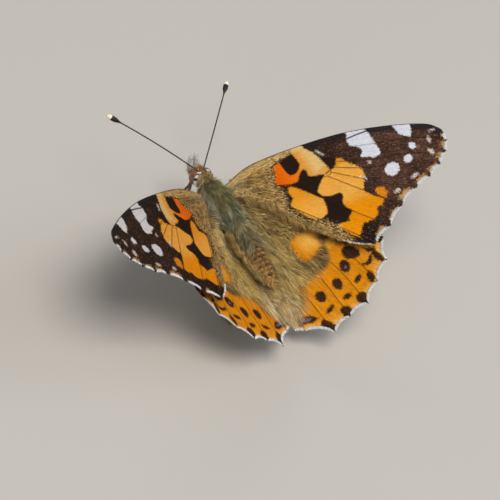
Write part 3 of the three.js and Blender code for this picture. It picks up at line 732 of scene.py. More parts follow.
# The four faces of the wings. A tone is a hex colour or (share, tone where it is 0, tone where it is 1). A
# layer is a share and the tone that it lays over those below. A share is a source, (source, its value for 0,
# its value for 1, most, least), (mark, softness and fraying of its edge, shift, most), or a list of two
# shares to multiply
facePaint = {
    "upper_forewing": {
        "base": "#4d3526",
        "ground": (("span", 12.5, 18.5), (dust, "#1b120f", "#35261f"),
                   (("cloud", 0.42, 0.62), (dust, "#4a332a", "#61473b"), (dust, "#38271f", "#4e382e"))),
        "layers": (
            # painted shade: the left forewing's dark outer ground is deepened as if less lit
            (("wingPaintedShade", 0.0, 1.0, 0.7), "#211811"),
            ([("single", 0.84, 0.94), ("streaks", 0.45, 0.6, 0.4)], "#8a6f60"),
            (("costa", 0.5, 0.5, -0.95, 0.9), "#242228"),
            (("pale", 0.3, 0.5, 0.0, 0.9), ("cloud", "#b5a298", "#f0e6e2")),
            (("margin", 0.4, 0.7, 0.0, 0.92), ("cloud", "#b07a3c", "#e2b878")),
            (("smallOrange", 0.3, 0.6), ("cloud", "#bf7118", "#dd8a1e")),
            (("orange", 0.26, 0.48), ("warmth", "#e4ac50", "#de8c06")),
            (("deep", 0.24, 0.45), (("span", 6.0, 9.2), "#d85a00", "#e57c14")),
            (("black", 0.2, 0.35), ("cloud", "#1b130f", "#2c1e16")),
            (("vein", 0.09, 0.05, -0.075, 0.7), "#2c1b10"),
            (("cream", 0.22, 0.35), ("warmth", "#ddc284", "#d6963a")),
            (("white", 0.18, 0.38), ("cloud", "#c4c9d8", "#dde0ea")),
            (("bars", 0.06, 0.06, 0.0, 0.85), ("cloud", "#1a1416", "#2a2024")),
            (("hair", 0.9, 1.5), (downy, ("single", "#2e2211", "#8f7040"), ("single", "#7d6032", "#e6c684"))),
            (("gold", 0.4, 0.8),
             (("mottle", 0.36, 0.54), ("single", "#4a3519", "#a98650"), ("single", "#8a6a36", "#ecce8c"))),
            (("costa", 0.06, 0.08, -0.12, 0.85), "#3a2a1a"),
        ),
    },
    "under_forewing": {
        "base": "#8a7458",
        "ground": (("span", 21.0, 24.5), (dust, "#2a1d18", "#4a3628"), (dust, "#8a7656", "#c8b48c")),
        "layers": (
            (("span", 11.5, 8.5), ("single", "#d8764a", "#eb9a6c")),
            (("orange", 0.2, 0.35), ("warmth", "#eeb088", "#dd7440")),
            (("deep", 0.2, 0.35), ("cloud", "#c9603a", "#e0764a")),
            (("black", 0.14, 0.35), ("cloud", "#1a120e", "#2a1c16")),
            (("cream", 0.15, 0.35), ("cloud", "#e4c9a4", "#f2e4cc")),
            (("white", 0.15, 0.35), ("cloud", "#e2e0de", "#f1f0ee")),
            (("pale", 0.3, 0.5), ("cloud", "#d8ccba", "#efe8dc")),
            (("costa", 0.4, 0.4, -0.5, 0.85), "#b79c74"),
            (("vein", 0.1, 0.05, -0.08, 0.7), (("span", 20.0, 24.0), "#5a3a26", "#e8dcc0")),
        ),
    },
    "upper_hindwing": {
        "base": "#8a6d40",
        "ground": (downy, ("single", "#3e2f18", "#8a6c3c"), ("single", "#7a6032", "#cfae70")),
        "layers": (
            (("orange", 0.6, 0.8), ("warmth", "#eab552", "#d5880f")),
            (("brown", 0.7, 0.9, 0.0, 0.85), ("cloud", "#3a2c1c", "#6a5436")),
            (("edge", 0.6, 0.5, -0.5, 0.5), "#eec070"),
            (("black", 0.26, 0.5), ("cloud", "#1f1510", "#3a281c")),
            (("lilac", 0.15, 0.7, 0.0, 0.55), ("cloud", "#77779e", "#a5a5c8")),
            ([("vein", 0.12, 0.05, -0.07, 0.75), hindField], "#48280e"),
            ([("streaks", 0.52, 0.4, 0.22), hindField], "#7a4410"),
            (("fold", 1.0, 0.8, 0.0, 0.85), ("cloud", "#a0834e", "#cfb584")),
        ),
    },
    "under_hindwing": {
        "base": "#9a8460",
        "marble": {"swirl": 2.6, "scale": 0.6, "fray": 0.2},
        "ground": (("marble", 0.3, 0.48), (dust, "#5e4e30", "#8a744a"), (dust, "#a8925f", "#d2bf92")),
        "layers": (
            (("marble", 0.7, 0.84), (dust, "#d9cfb8", "#f1ebdc")),
            (("edge", 0.6, 0.6, -5.3),
             (("single", 0.7, 0.9, 0.5), ("cloud", "#a38c5e", "#c9b488"), "#7a6642")),
            (("ring", 0.1, 0.25), ("cloud", "#241910", "#3a2a18")),
            (("iris", 0.1, 0.2), ("cloud", "#c29440", "#d9b258")),
            (("pupil", 0.1, 0.2), ("cloud", "#1c2733", "#33506a")),
            (("dash", 0.12, 0.3), ("cloud", "#6a76a0", "#9aa4c0")),
            (("edge", 0.2, 0.2, -0.35, 0.9), "#e6dac0"),
            (("vein", 0.12, 0.12, -0.09, 0.75), "#e8dcc0"),
        ),
    },
}


def wingSources(tree):
    made = {name: addNode(tree, "Attribute", {"attribute_name": name}, "Fac")
            for name in ("span", "back", "ray", "turn", "wingPaintedShade", "warm")}
    made["flat"] = addNode(tree, "CombineXYZ", {"X": made["span"], "Y": made["back"]})
    for name, sizes in scalePaint["lies"].items():
        x, y = (addNode(tree, "Math", {"operation": "MULTIPLY", 0: made[place], 1: 1 / size})
                for place, size in zip(("ray", "turn"), sizes))
        made[name] = addNode(tree, "CombineXYZ", {"X": x, "Y": y})
    for name, (place, size, detail) in scalePaint["noises"].items():
        settings = {"Vector": made[place], "Scale": 1 / size, "Detail": detail, "Roughness": 0.6}
        made[name] = addNode(tree, "TexNoise", settings, "Fac")
    tiles = addNode(tree, "TexVoronoi", {"Vector": made["shingle"], "Scale": 1.0, "Randomness": 0.9}, "Color")
    made["single"] = addNode(tree, "SeparateColor", {0: tiles})  # a tone of its own for each scale
    rough = addNode(tree, "Math", {**timesPlus, 0: made["single"], 1: 0.45, 2: made["scales"]})
    made["ragged"] = addNode(tree, "Math", {"operation": "SUBTRACT", 0: rough, 1: 0.72})
    spread = addNode(tree, "Math", {**timesPlus, 0: made["streaks"], 1: 0.5, 2: -0.25})
    settings = {"operation": "ADD", "use_clamp": True, 0: made["warm"], 1: spread}
    made["warmth"] = addNode(tree, "Math", settings)
    return made


def marbleOf(tree, made, marble):  # pale cells drawn out in swirls
    swirl = addNode(tree, "Math", {**timesPlus, 0: made["cloud"], 1: marble["swirl"], 2: made["span"]})
    place = addNode(tree, "CombineXYZ", {"X": swirl, "Y": made["back"]})
    settings = {"Vector": place, "Scale": marble["scale"], "Randomness": 1.0}
    cell = addNode(tree, "SeparateColor", {0: addNode(tree, "TexVoronoi", settings, "Color")}, 1)
    return addNode(tree, "Math", {**timesPlus, 0: made["ragged"], 1: marble["fray"], 2: cell})


def wingMaterial(name, paint):
    material, tree, shader = startMaterial(f"wing_scales_{name}", paint["base"], 0.8, Specular_IOR_Level=0.05)
    made = wingSources(tree)
    if "marble" in paint:
        made["marble"] = marbleOf(tree, made, paint["marble"])
    colour = layTones(tree, made, paint["ground"], paint["layers"])
    shading = shareOf(tree, made, scalePaint["shading"])
    # the tone of single scales and streaks, then the painted shade of the left wings
    for share, tone in ((1.0, shading), (made["wingPaintedShade"], scalePaint["wingPaintedShade"])):
        colour = addNode(tree, "Mix", {**multiply, "Factor": share, 6: colour, 7: tone}, 2)
    height = addNode(tree, "Math", {**timesPlus, 0: made["single"], 1: 0.5, 2: made["streaks"]})
    finishShader(tree, shader, colour, height, *scalePaint["relief"])
    return material


print("laying out the wings")
wingMeshes = []
for wing, marks in ((forewing, forewingMarks), (hindwing, hindwingMarks)):
    uv, faces = triangulateWing(wing)
    wingMeshes.append((wing, uv, faces, wingFields(wing, marks, uv)))
    print(wing["name"], len(uv), "points", len(faces), "faces")
wingMaterials = {name: wingMaterial(name, paint) for name, paint in facePaint.items()}
for wing, uv, faces, fields in wingMeshes:
    for sideName, side in sides.items():
        buildWing(wing, side, sideName, uv, faces, fields)
print("wings built")

# Coats: hairs, scales and fringes are closed tapered blades, all of one kind joined in one mesh
random = np.random.default_rng(7)


def palette(*hexes):
    return np.array([toLinear(h)[:3] for h in hexes])


def pick(hexes, n):  # a random blend of two of the colours for each hair
    colours = palette(*hexes)
    first, second = (colours[random.integers(0, len(colours), n)] for _ in range(2))
    t = random.random((n, 1))
    return first * t + second * (1 - t)


def coatMaterial(name, roughness):
    sockets = {"Sheen_Weight": 0.1, "Specular_IOR_Level": 0.25}
    material, tree, shader = startMaterial(name, "#8a744c", roughness, **sockets)
    coat = addNode(tree, "Attribute", {"attribute_name": "coat"}, "Color")
    tree.links.new(coat, shader.inputs["Base Color"])
    return material


furMaterial = coatMaterial("insect_hair", 0.7)  # silky chitin hair, soft light along each lock
fringeMaterial = coatMaterial("fringe_scales", 0.75)  # loose matte scales


def storeCoat(piece, colours):
    colours = np.concatenate([colours, np.ones((len(colours), 1))], 1)
    layer = piece.data.attributes.new("coat", "FLOAT_COLOR", "POINT")
    layer.data.foreach_set("color", colours.astype(np.float32).ravel())


# shades darken the colour at the root and brighten it at the tip, and patch is each blade's place on the
# unwrap of the skin below. blade is where its second ring is, how wide that ring is, and its thickness for
# its width
def growTufts(name, root, along, outward, length, width, colour, shades, patch, slot="fur", bend=0.0,
              blade=(0.5, 0.85, 0.4), material=furMaterial):
    n = len(root)
    midAt, midWidth, flatness = blade
    along = unit(along)
    side = unit(np.cross(along, unit(outward)))
    outward = np.cross(side, along)
    length, width, bend = (np.broadcast_to(np.asarray(x, float), n)[:, None] for x in (length, width, bend))
    mid = root + along * length * midAt + outward * bend * length * midAt**2
    points = np.empty((n, 7, 3))
    for start, centre, spread in ((0, root - along * 0.06, width), (3, mid, width * midWidth)):
        points[:, start] = centre + side * spread / 2
        points[:, start + 1] = centre + outward * spread * flatness
        points[:, start + 2] = centre - side * spread / 2
    points[:, 6] = root + along * length * (1 - 0.3 * bend**2) + outward * bend * length
    corners = [(0, 2, 1)]
    for k in range(3):
        m = (k + 1) % 3
        corners += [(k, m, 3 + m), (k, 3 + m, 3 + k), (3 + k, 3 + m, 6)]
    corners = np.array(corners)[:, ::-1]
    faces = (corners[None] + (np.arange(n) * 7)[:, None, None]).reshape(-1, 3)
    vertices = toFloor(points.reshape(-1, 3))
    vertices[:, 2] = np.maximum(vertices[:, 2], 0.01 * mm)  # nothing reaches below the soles
    piece = meshFrom(name, vertices, faces)
    share = np.array([0, 0, 0, 0.55, 0.55, 0.55, 1.0])[None, :, None]
    low, high = colour * shades[0], np.minimum(colour * shades[1], 1)
    storeCoat(piece, (low[:, None] * (1 - share) + high[:, None] * share).reshape(-1, 3))
    spread = np.array([(-1, 0), (0, 0), (1, 0), (-1, 1), (0, 1), (1, 1), (0, 2)]) * 0.0015
    places = np.repeat(patch, 7, 0) + np.tile(spread, (n, 1))
    uvs = piece.data.uv_layers.new(name="OFBake")
    uvs.data.foreach_set("uv", places[faces.ravel()].astype(np.float32).ravel())
    settle(piece, slot, material)


def gatherLocks(root, along, length, pull, share=0.03):  # draws the tips of near hairs together
    seeds = random.choice(len(root), max(1, int(len(root) * share)), replace=False)
    tree = KDTree(len(seeds))
    for k, seed in enumerate(seeds):
        tree.insert(root[seed], k)
    tree.balance()
    lock = np.array([tree.find(place)[1] for place in root])
    seed = seeds[lock]
    target = root[seed] + along[seed] * length[seed, None]
    own = root + along * length[:, None]
    return unit(own * (1 - pull) + target * pull - root), lock


def mixRows(first, second, share):
    return first * (1 - share[:, None]) + second * share[:, None]


def lockShades(lock, low, high):  # one random shade for each lock
    return random.uniform(low, high, lock.max() + 1)[lock]


def wingPatch(uv):
    return (uv + (4, 28)) / 36


fringe = {
    "spacing": 0.05,
    "width": 0.075,
    "tuck": 0.04,  # mm that the roots are inside the membrane's edge
    "rows": ((1.12, 0.05, 0.0), (0.75, 0.12, 0.04)),  # share of the fringe's length, share dropped, height
    "atVein": 0.6,  # share of the length that is left at the end of a vein
    "lean": (0.16, 0.06),  # spread of the directions, in the membrane and out of it
    "blade": (0.86, 1.0, 0.2),
    "white": ("#f4f6fa", "#ccd4e0", "#ffffff"),
    "dark": ("#2b1d15", "#3d2a1e"),
    "darkLength": 0.45,
    "darkReach": {"forewing": 0.17, "hindwing": 0.05},  # share of each scallop at both sides of a vein
}


def addFringe(wing, side, sideName):
    rows = []
    for length, dropped, height in fringe["rows"]:
        uv, outward, phase = outerMargin(wing, fringe["spacing"], wing["fringe"] + fringe["tuck"])
        keep = random.random(len(uv)) > dropped
        fullness = fringe["atVein"] + (1 - fringe["atVein"]) * np.sqrt(np.sin(np.pi * phase))
        reach = length * wing["fringe"] * fullness + 0.06
        rows.append((uv[keep], outward[keep], phase[keep], reach[keep], np.full(keep.sum(), height)))
    uv, outward, phase, length, height = (np.concatenate(column) for column in zip(*rows))
    n = len(uv)
    within, above = fringe["lean"]
    dark = np.minimum(phase, 1 - phase) + random.normal(0, 0.04, n) < fringe["darkReach"][wing["name"]]
    length = length * np.where(dark, fringe["darkLength"], 1.0)
    u, v, normal = wingAxes(wing, uv, side)
    lean = outward + random.normal(0, within, (n, 2))
    along = u * lean[:, :1] + v * lean[:, 1:] + normal * random.normal(0, above, (n, 1))
    root = onSide(wing, onWing(wing, uv, height), side)
    white = pick(fringe["white"], n)
    colour = np.where(dark[:, None], pick(fringe["dark"], n), white)
    length = length * random.uniform(0.7, 1.08, n)
    growTufts(f"{wing['name']}_{sideName}_fringe", root, along, normal, length, fringe["width"], colour,
              (0.85, 1.0), wingPatch(uv), "wing", blade=fringe["blade"], material=fringeMaterial)


# Hair over the wings' bases, all in mm: combed away from start, longer and denser inside the outline
wingHair = {
    "greyColours": ("#a2a384", "#c2c2a2", "#80826a"),  # beside the thorax
    "paleColours": ("#efd6a4", "#d6b47e", "#f8e8c2"),  # at the hindwings' inner corners
    "smudge": (8.5, 15.0, 1.4, 1.2),  # dark spot in the hindwing's hair: out, back and its half widths
    "forewing": {
        "outline": [(-1.2, 0.3), (3, 0.9), (6.4, 0.4), (5.8, -1.6), (5.0, -3.2), (5.2, -5.0), (4.8, -7.5),
                    (5.6, -10.0), (7.6, -11.9), (8.7, -13.9), (9.0, -15.4), (8.8, -15.9), (5.9, -11.4),
                    (2.7, -5.1), (0.4, -2.3)],
        "extent": ((-1.5, -17), (10, 1.2)),
        "start": (-2.5, 1.0),
        "raised": (),
        "perSquare": 42,
        "bright": 1.12,
        "grey": 2.6,  # mm from the hinge to where the grey-green of the thorax is gone
        "length": (0.3, 0.35, 1.1),  # at the edge of the hair, longer for each mm inside it, at most
        "thinEdge": 0.5,
        "fade": 1.5,
        "strays": 0.0,
        "shades": (0.4, 0.65, 0.9, 1.05, 1.15, 1.3),
        "leftHairPaintedShade": (0.72, 0.65, 0.56),  # painted shade: the left forewing's hair is darker and browner, as if less lit
        "colours": ("#d4a65c", "#e2ba6c", "#ecd08e", "#946c34", "#4a3414", "#60441c", "#dcac54"),
    },
    "hindwing": {
        "outline": [(0.9, -2), (6, -3.5), (9.5, -7.6), (9.4, -9.8), (6.8, -10.4), (6.1, -11.6), (6.3, -13.4),
                    (6.8, -14.0), (9.2, -13.6), (8.9, -15.4), (6.6, -16.4), (5.0, -17.4), (3.9, -18.8),
                    (2.6, -20.4), (1.4, -21.0), (0.05, -21.0), (0.05, -8)],
        "extent": ((0, -23), (10, -1.5)),
        "start": (0.4, 6.0),
        # hair that stands up against the body and under the forewing's hind edge: line, reach, how much
        "raised": (([(0.5, -4.5), (0.4, -9), (0.5, -14), (0.4, -17)], 1.1, 0.9),
                   ([(2.4, -1.8), (3.2, -2.6), (4.8, -5.3), (6.2, -8.2)], 1.3, 1.1),
                   ([(6.2, -8.2), (7.9, -11.2), (9.2, -13.4)], 1.0, 0.45)),
        "perSquare": 68,
        "bright": 1.08,
        "grey": 6.0,
        "length": (0.6, 0.6, 2.2),
        "thinEdge": 0.12,
        "fade": 2.3,
        "strays": 0.34,
        "shades": (0.5, 0.8, 1.1, 1.25, 1.45),
        "leftHairPaintedShade": (1, 1, 1),
        "colours": ("#cfaa5e", "#e2c47a", "#eedaa0", "#9c7c3e", "#5c4519", "#d8ae54"),
    },
}


def addWingHair(wing, side, sideName):
    hair = wingHair[wing["name"]]
    outline = splineThrough(hair["outline"], 0.4, closed=True)
    low, high = hair["extent"]
    uv = random.uniform(low, high, (int(np.prod(np.subtract(high, low)) * hair["perSquare"]), 2))
    uv = uv[insideLoop(uv, outline)]
    deep = distanceToLine(uv, outline, 4.0, closed=True)
    fold = easeBetween(-uv[:, 1], 13.5, 16.5) * easeBetween(-uv[:, 0], -2.4, -1.2)  # almost bare
    kept = random.random(len(uv)) < (hair["thinEdge"] + deep / hair["fade"]) * (1 - 0.7 * fold)
    uv, deep = uv[kept], deep[kept]
    n = len(uv)
    out, back = uv[:, 0], -uv[:, 1]
    away = unit(uv - np.array(hair["start"]))
    angle = random.normal(0, 0.15, n) + 0.14 * np.sin(out * 1.7 - back * 0.5)  # strands sway to both sides
    c, s = np.cos(angle), np.sin(angle)
    u, v, normal = wingAxes(wing, uv, side)
    along = u * (away[:, 0] * c - away[:, 1] * s)[:, None] + v * (away[:, 0] * s + away[:, 1] * c)[:, None]
    lift = np.abs(random.normal(0.1, 0.06, n))
    raised = np.zeros(n)
    for line, reach, most in hair["raised"]:
        near = distanceToLine(uv, splineThrough(line, 0.4), 4.0)
        raised = np.maximum(raised, most * np.exp(-((near / reach) ** 2)))
    along = along + normal * (lift + raised)[:, None]
    root = onSide(wing, onWing(wing, uv, 0.04), side)
    colour = pick(hair["colours"], n) * hair["bright"]
    grey = 0.7 * easeBetween(-out, -hair["grey"], -0.8) * easeBetween(-back, -12.0, -6.0)
    colour = mixRows(colour, pick(wingHair["greyColours"], n), grey)
    if wing is hindwing:
        pale = np.clip((back - 14.5) / 4, 0, 1) * np.clip((3.4 - out) / 1.5, 0, 1)
        colour = mixRows(colour, pick(wingHair["paleColours"], n), pale)
        smudgeOut, smudgeBack, wide, long = wingHair["smudge"]
        smudge = np.exp(-(((out - smudgeOut) / wide) ** 2) - ((back - smudgeBack) / long) ** 2)
        colour = colour * (1 - smudge[:, None] * (0.42, 0.45, 0.5))
    least, growth, most = hair["length"]
    length = np.minimum(least + growth * deep, most) * random.uniform(0.75, 1.2, n)
    length = np.maximum(length, 2.2 * raised)
    stray = (deep < 1.3) & (back > 13) & (random.random(n) < hair["strays"])  # thin ends over the markings
    length = np.where(stray, length * 2.4, length)
    along, lock = gatherLocks(root, unit(along), length, 0.3, 0.25)
    colour = colour * random.choice(hair["shades"], lock.max() + 1)[lock][:, None]
    # painted shade on the hair of the left wings
    if side < 0:
        colour = colour * hair["leftHairPaintedShade"]
    width = random.uniform(0.035, 0.06, n) * np.where(stray, 0.65, 1.0)
    growTufts(f"{wing['name']}_{sideName}_hair", root, along, normal, length, width, colour, (0.8, 1.15),
              wingPatch(uv), "wing", bend=random.uniform(-0.06, 0.08, n))


# Hair along the hind edges: the wing, from and to in mm back from the hinge, hairs for each mm, length, share
# of outward lean, droop, colours
hems = {
    "forewing_skirt": (forewing, (1.2, 15.4), 200, (1.0, 2.7), 0.22, 0.55,
                       ("#cfaa5e", "#e2c47a", "#a5844a", "#765a2a", "#4a3414", "#d8ae54")),
    "forewing_white_hem": (forewing, (16.2, 18.7), 60, (0.14, 0.24), 0.85, 0.0,
                           ("#e4dcd4", "#c8bcb0", "#f4f2f0")),
    "hindwing_fold": (hindwing, (9.0, 20.6), 60, (0.5, 0.9), 0.05, 0.0,
                      ("#d6c49c", "#bfa678", "#ecdcb8", "#b5965e")),
}


def addHem(name, hem, side, sideName):
    wing, (near, far), perLength, lengths, share, droop, colours = hem
    line = splineThrough(wing["hindEdge"], 0.1)
    lineU, lineV = line[np.argsort(line[:, 1])].T
    n = int((far - near) * perLength)
    v = -random.uniform(near, far, n)
    u, slope = (np.interp(v, lineV, values) for values in (lineU, np.gradient(lineU, lineV)))
    tangent = unit(np.stack([-slope, -np.ones(n)], 1))
    outward = np.stack([tangent[:, 1], -tangent[:, 0]], 1)
    uv = np.stack([u, v], 1) - outward * random.uniform(0.02, 0.3 if droop else 0.15, n)[:, None]
    lean = tangent * (1 - share) + outward * share + random.normal(0, 0.1 + 0.25 * droop, (n, 2))
    across, forward, normal = wingAxes(wing, uv, side)
    along = across * lean[:, :1] + forward * lean[:, 1:] + normal * random.normal(0.05, 0.05, (n, 1))
    root = onSide(wing, onWing(wing, uv, 0.04), side)
    length = random.uniform(*lengths, n) * (1 - 1.3 * droop * easeBetween(-v, 7.0, 13.5))
    along, lock = gatherLocks(root, unit(along), length, 0.3 if droop else 0.1, 0.1)
    colour = pick(colours, n) * lockShades(lock, 0.6, 1.25)[:, None]
    width = random.uniform(0.04, 0.06, n)
    growTufts(f"{name}_{sideName}", root, along, normal, length, width, colour, (0.85, 1.1), wingPatch(uv),
              "wing", bend=-droop)


for wing, *_ in wingMeshes:
    for sideName, side in sides.items():
        addFringe(wing, side, sideName)
        addWingHair(wing, side, sideName)
for name, hem in hems.items():
    for sideName, side in sides.items():
        addHem(name, hem, side, sideName)
print("fringes and wing hair grown")

# The body: one skin from the face to the tip of the abdomen, inside the coat
body = {
    "stations": np.array([  # forward, half width, top, bottom, in mm
        (4.5, 0.30, 0.40, -0.50), (4.3, 0.60, 0.80, -0.88), (3.9, 0.80, 1.10, -1.05),
        (3.4, 0.84, 1.22, -1.10), (2.8, 0.80, 1.12, -1.05), (2.35, 0.72, 0.98, -0.90),
        (2.0, 0.80, 1.02, -0.92), (1.6, 1.12, 1.28, -1.25), (0.9, 1.55, 1.68, -1.75),
        (-0.3, 1.90, 2.10, -2.15), (-1.6, 2.02, 2.22, -2.25), (-3.0, 1.88, 2.02, -2.05),
        (-4.2, 1.45, 1.66, -1.40), (-4.9, 1.18, 1.46, -0.95), (-5.6, 1.20, 1.50, -0.85),
        (-7.0, 1.38, 1.70, -1.06), (-8.5, 1.47, 1.74, -1.18), (-10.5, 1.43, 1.62, -1.22),
        (-12.5, 1.22, 1.32, -1.18), (-14.2, 0.92, 0.90, -1.06), (-15.3, 0.58, 0.45, -0.86),
        (-15.85, 0.28, 0.08, -0.55),
    ]),
    "rings": 230,
    "sides": 72,
    "abdomen": (-4.9, -15.9),
    "segments": 8,
    "fold": 0.07,  # mm, step at each segment's hind edge
    "ribs": {"abdomen_ribs": (0.45, 0.8)},  # the part of each half segment that stands out pale
    # painted shade: the left side of these hair groups is darker, as if less lit
    "leftBodyPaintedShade": {"thorax_mantle": 0.7},
    "skinGapPaintedShade": 0.6,  # painted shade: the skin is darker than its hair so the gaps between hairs look deep
}


def segmentPlace(y):  # how far along its own segment a place on the abdomen is, 0 to 1, and which segment
    start, end = body["abdomen"]
    s = (start - y) / (start - end) * body["segments"]
    return np.where((s > 0.3) & (s < body["segments"] - 0.2), s % 1.0, 0.0), s


bodyLine = splineThrough(body["stations"][::-1], 0.15)
bodyLine = bodyLine[np.argsort(bodyLine[:, 0])]


def bodySurface(y, angle):  # angle 0 is the right side, a quarter turn is the back
    y, angle = np.broadcast_arrays(y, angle)
    halfWidth, top, bottom = (np.interp(y, bodyLine[:, 0], bodyLine[:, k]) for k in (1, 2, 3))
    fold = body["fold"] * segmentPlace(y)[0] ** 2
    middle, halfHeight = (top + bottom) / 2, (top - bottom) / 2
    return np.stack([(halfWidth + fold) * np.cos(angle), y, middle + (halfHeight + fold) * np.sin(angle)], -1)


def bodyNormal(y, angle):
    e = 0.02
    alongBody = bodySurface(y - e, angle) - bodySurface(y + e, angle)
    roundBody = bodySurface(y, angle + e) - bodySurface(y, angle - e)
    return unit(np.cross(roundBody, alongBody))


bodyColours = {
    "places": (4.5, 3.2, 2.4, 1.9, 1.2, -0.5, -2.5, -4.2, -5.6, -7.5, -9.5, -11.5, -13.5, -15.9),
    "back": ("#a9783f", "#a87c46", "#b08e58", "#a08c58", "#8c8656", "#827e50", "#7f784a", "#80764a",
             "#8d7d48", "#9a8048", "#a07e42", "#a87d3c", "#b48238", "#be8c42"),
    "side": ("#b98f5c", "#c3a67a", "#bda372", "#b09c68", "#9c987a", "#97977f", "#9a9674", "#9c9062",
             "#a88f54", "#ab8e4e", "#ac8648", "#b88c4a", "#c69654", "#d2a463"),
    "belly": ("#d8cdb8", "#e0d8c6", "#cfc0a2", "#c9b999", "#cbbf9f", "#cfc5a8", "#cdc2a2", "#cbbd9a",
              "#d3c5a2", "#d8caa8", "#d9cba9", "#d8c8a3", "#d2bf96", "#c9ae7c"),
}


def bodyColour(y, angle):
    places = bodyColours["places"][::-1]
    back, side, belly = (
        np.stack([np.interp(y, places, channel) for channel in palette(*bodyColours[k])[::-1].T], -1)
        for k in ("back", "side", "belly"))
    height = np.sin(angle)
    up = np.clip((height - 0.15) / 0.6, 0, 1)[..., None]
    down = np.clip((-height - 0.1) / 0.5, 0, 1)[..., None]
    colour = side * (1 - up) + back * up
    colour = colour * (1 - down) + belly * down
    place, s = segmentPlace(y)
    band = np.exp(-((place - 0.12) / 0.14) ** 2) + 0.7 * np.exp(-((place - 0.62) / 0.1) ** 2)  # two a segment
    band = np.where((s > 2.2) & (place > 0), band, 0) * np.clip(height + 0.4, 0, 1)
    stripe = 0.12 * np.cos(angle * 10) * np.where(y > -4.4, 1, 0) * np.clip(height, 0, 1)  # along the thorax
    return colour * (1 - 0.9 * np.minimum(band, 1)[..., None]) * (1 + stripe[..., None])


def skinMaterial():
    material, tree, shader = startMaterial("scaled_body_cuticle", "#6f6a4c", 0.7, Specular_IOR_Level=0.3)
    coat = addNode(tree, "Attribute", {"attribute_name": "coat"}, "Color")
    spot = addNode(tree, "TexCoord", {}, "Object")
    grain = addNode(tree, "TexNoise", {"Vector": spot, "Scale": 1 / (0.12 * mm), "Detail": 2}, "Fac")
    tint = shareOf(tree, {"grain": grain}, ("grain", 0.3, 0.7, 1.1, 0.7))
    colour = addNode(tree, "Mix", {**multiply, "Factor": 1.0, 6: coat, 7: tint}, 2)
    finishShader(tree, shader, colour, grain, 0.5, 0.05)
    return material


bodySkinMaterial = skinMaterial()  # dull scales over horny skin


def buildBodySkin():
    first, last = body["stations"][0, 0], body["stations"][-1, 0]
    count, around = body["rings"], body["sides"]
    y, angle = np.linspace(first, last, count), np.linspace(0, 2 * np.pi, around, endpoint=False)
    rings = bodySurface(y[:, None], angle[None]).reshape(-1, 3)
    points = np.vstack([(0, first + 0.12, -0.05), rings, (0, last - 0.1, -0.25)])
    at = 1 + np.arange(count * around).reshape(count, around)
    after = np.roll(at, -1, 1)  # the next point round
    start, end = np.zeros(around, int), np.full(around, len(points) - 1)
    corners = ((start, after[0], at[0]), (at[:-1], after[:-1], at[1:]), (after[:-1], after[1:], at[1:]),
               (end, at[-1], after[-1]))
    faces = np.vstack([np.stack(three, -1).reshape(-1, 3) for three in corners])
    piece = meshFrom("body_skin", toFloor(points), faces)
    # painted shade in the gaps between the hairs
    colours = bodyColour(np.repeat(y, around), np.tile(angle, count)) * body["skinGapPaintedShade"]
    storeCoat(piece, np.vstack([colours[:1], colours, colours[-1:]]))
    settle(piece, "fur", bodySkinMaterial, replaced=("head", "thorax", "abdomen"))


buildBodySkin()

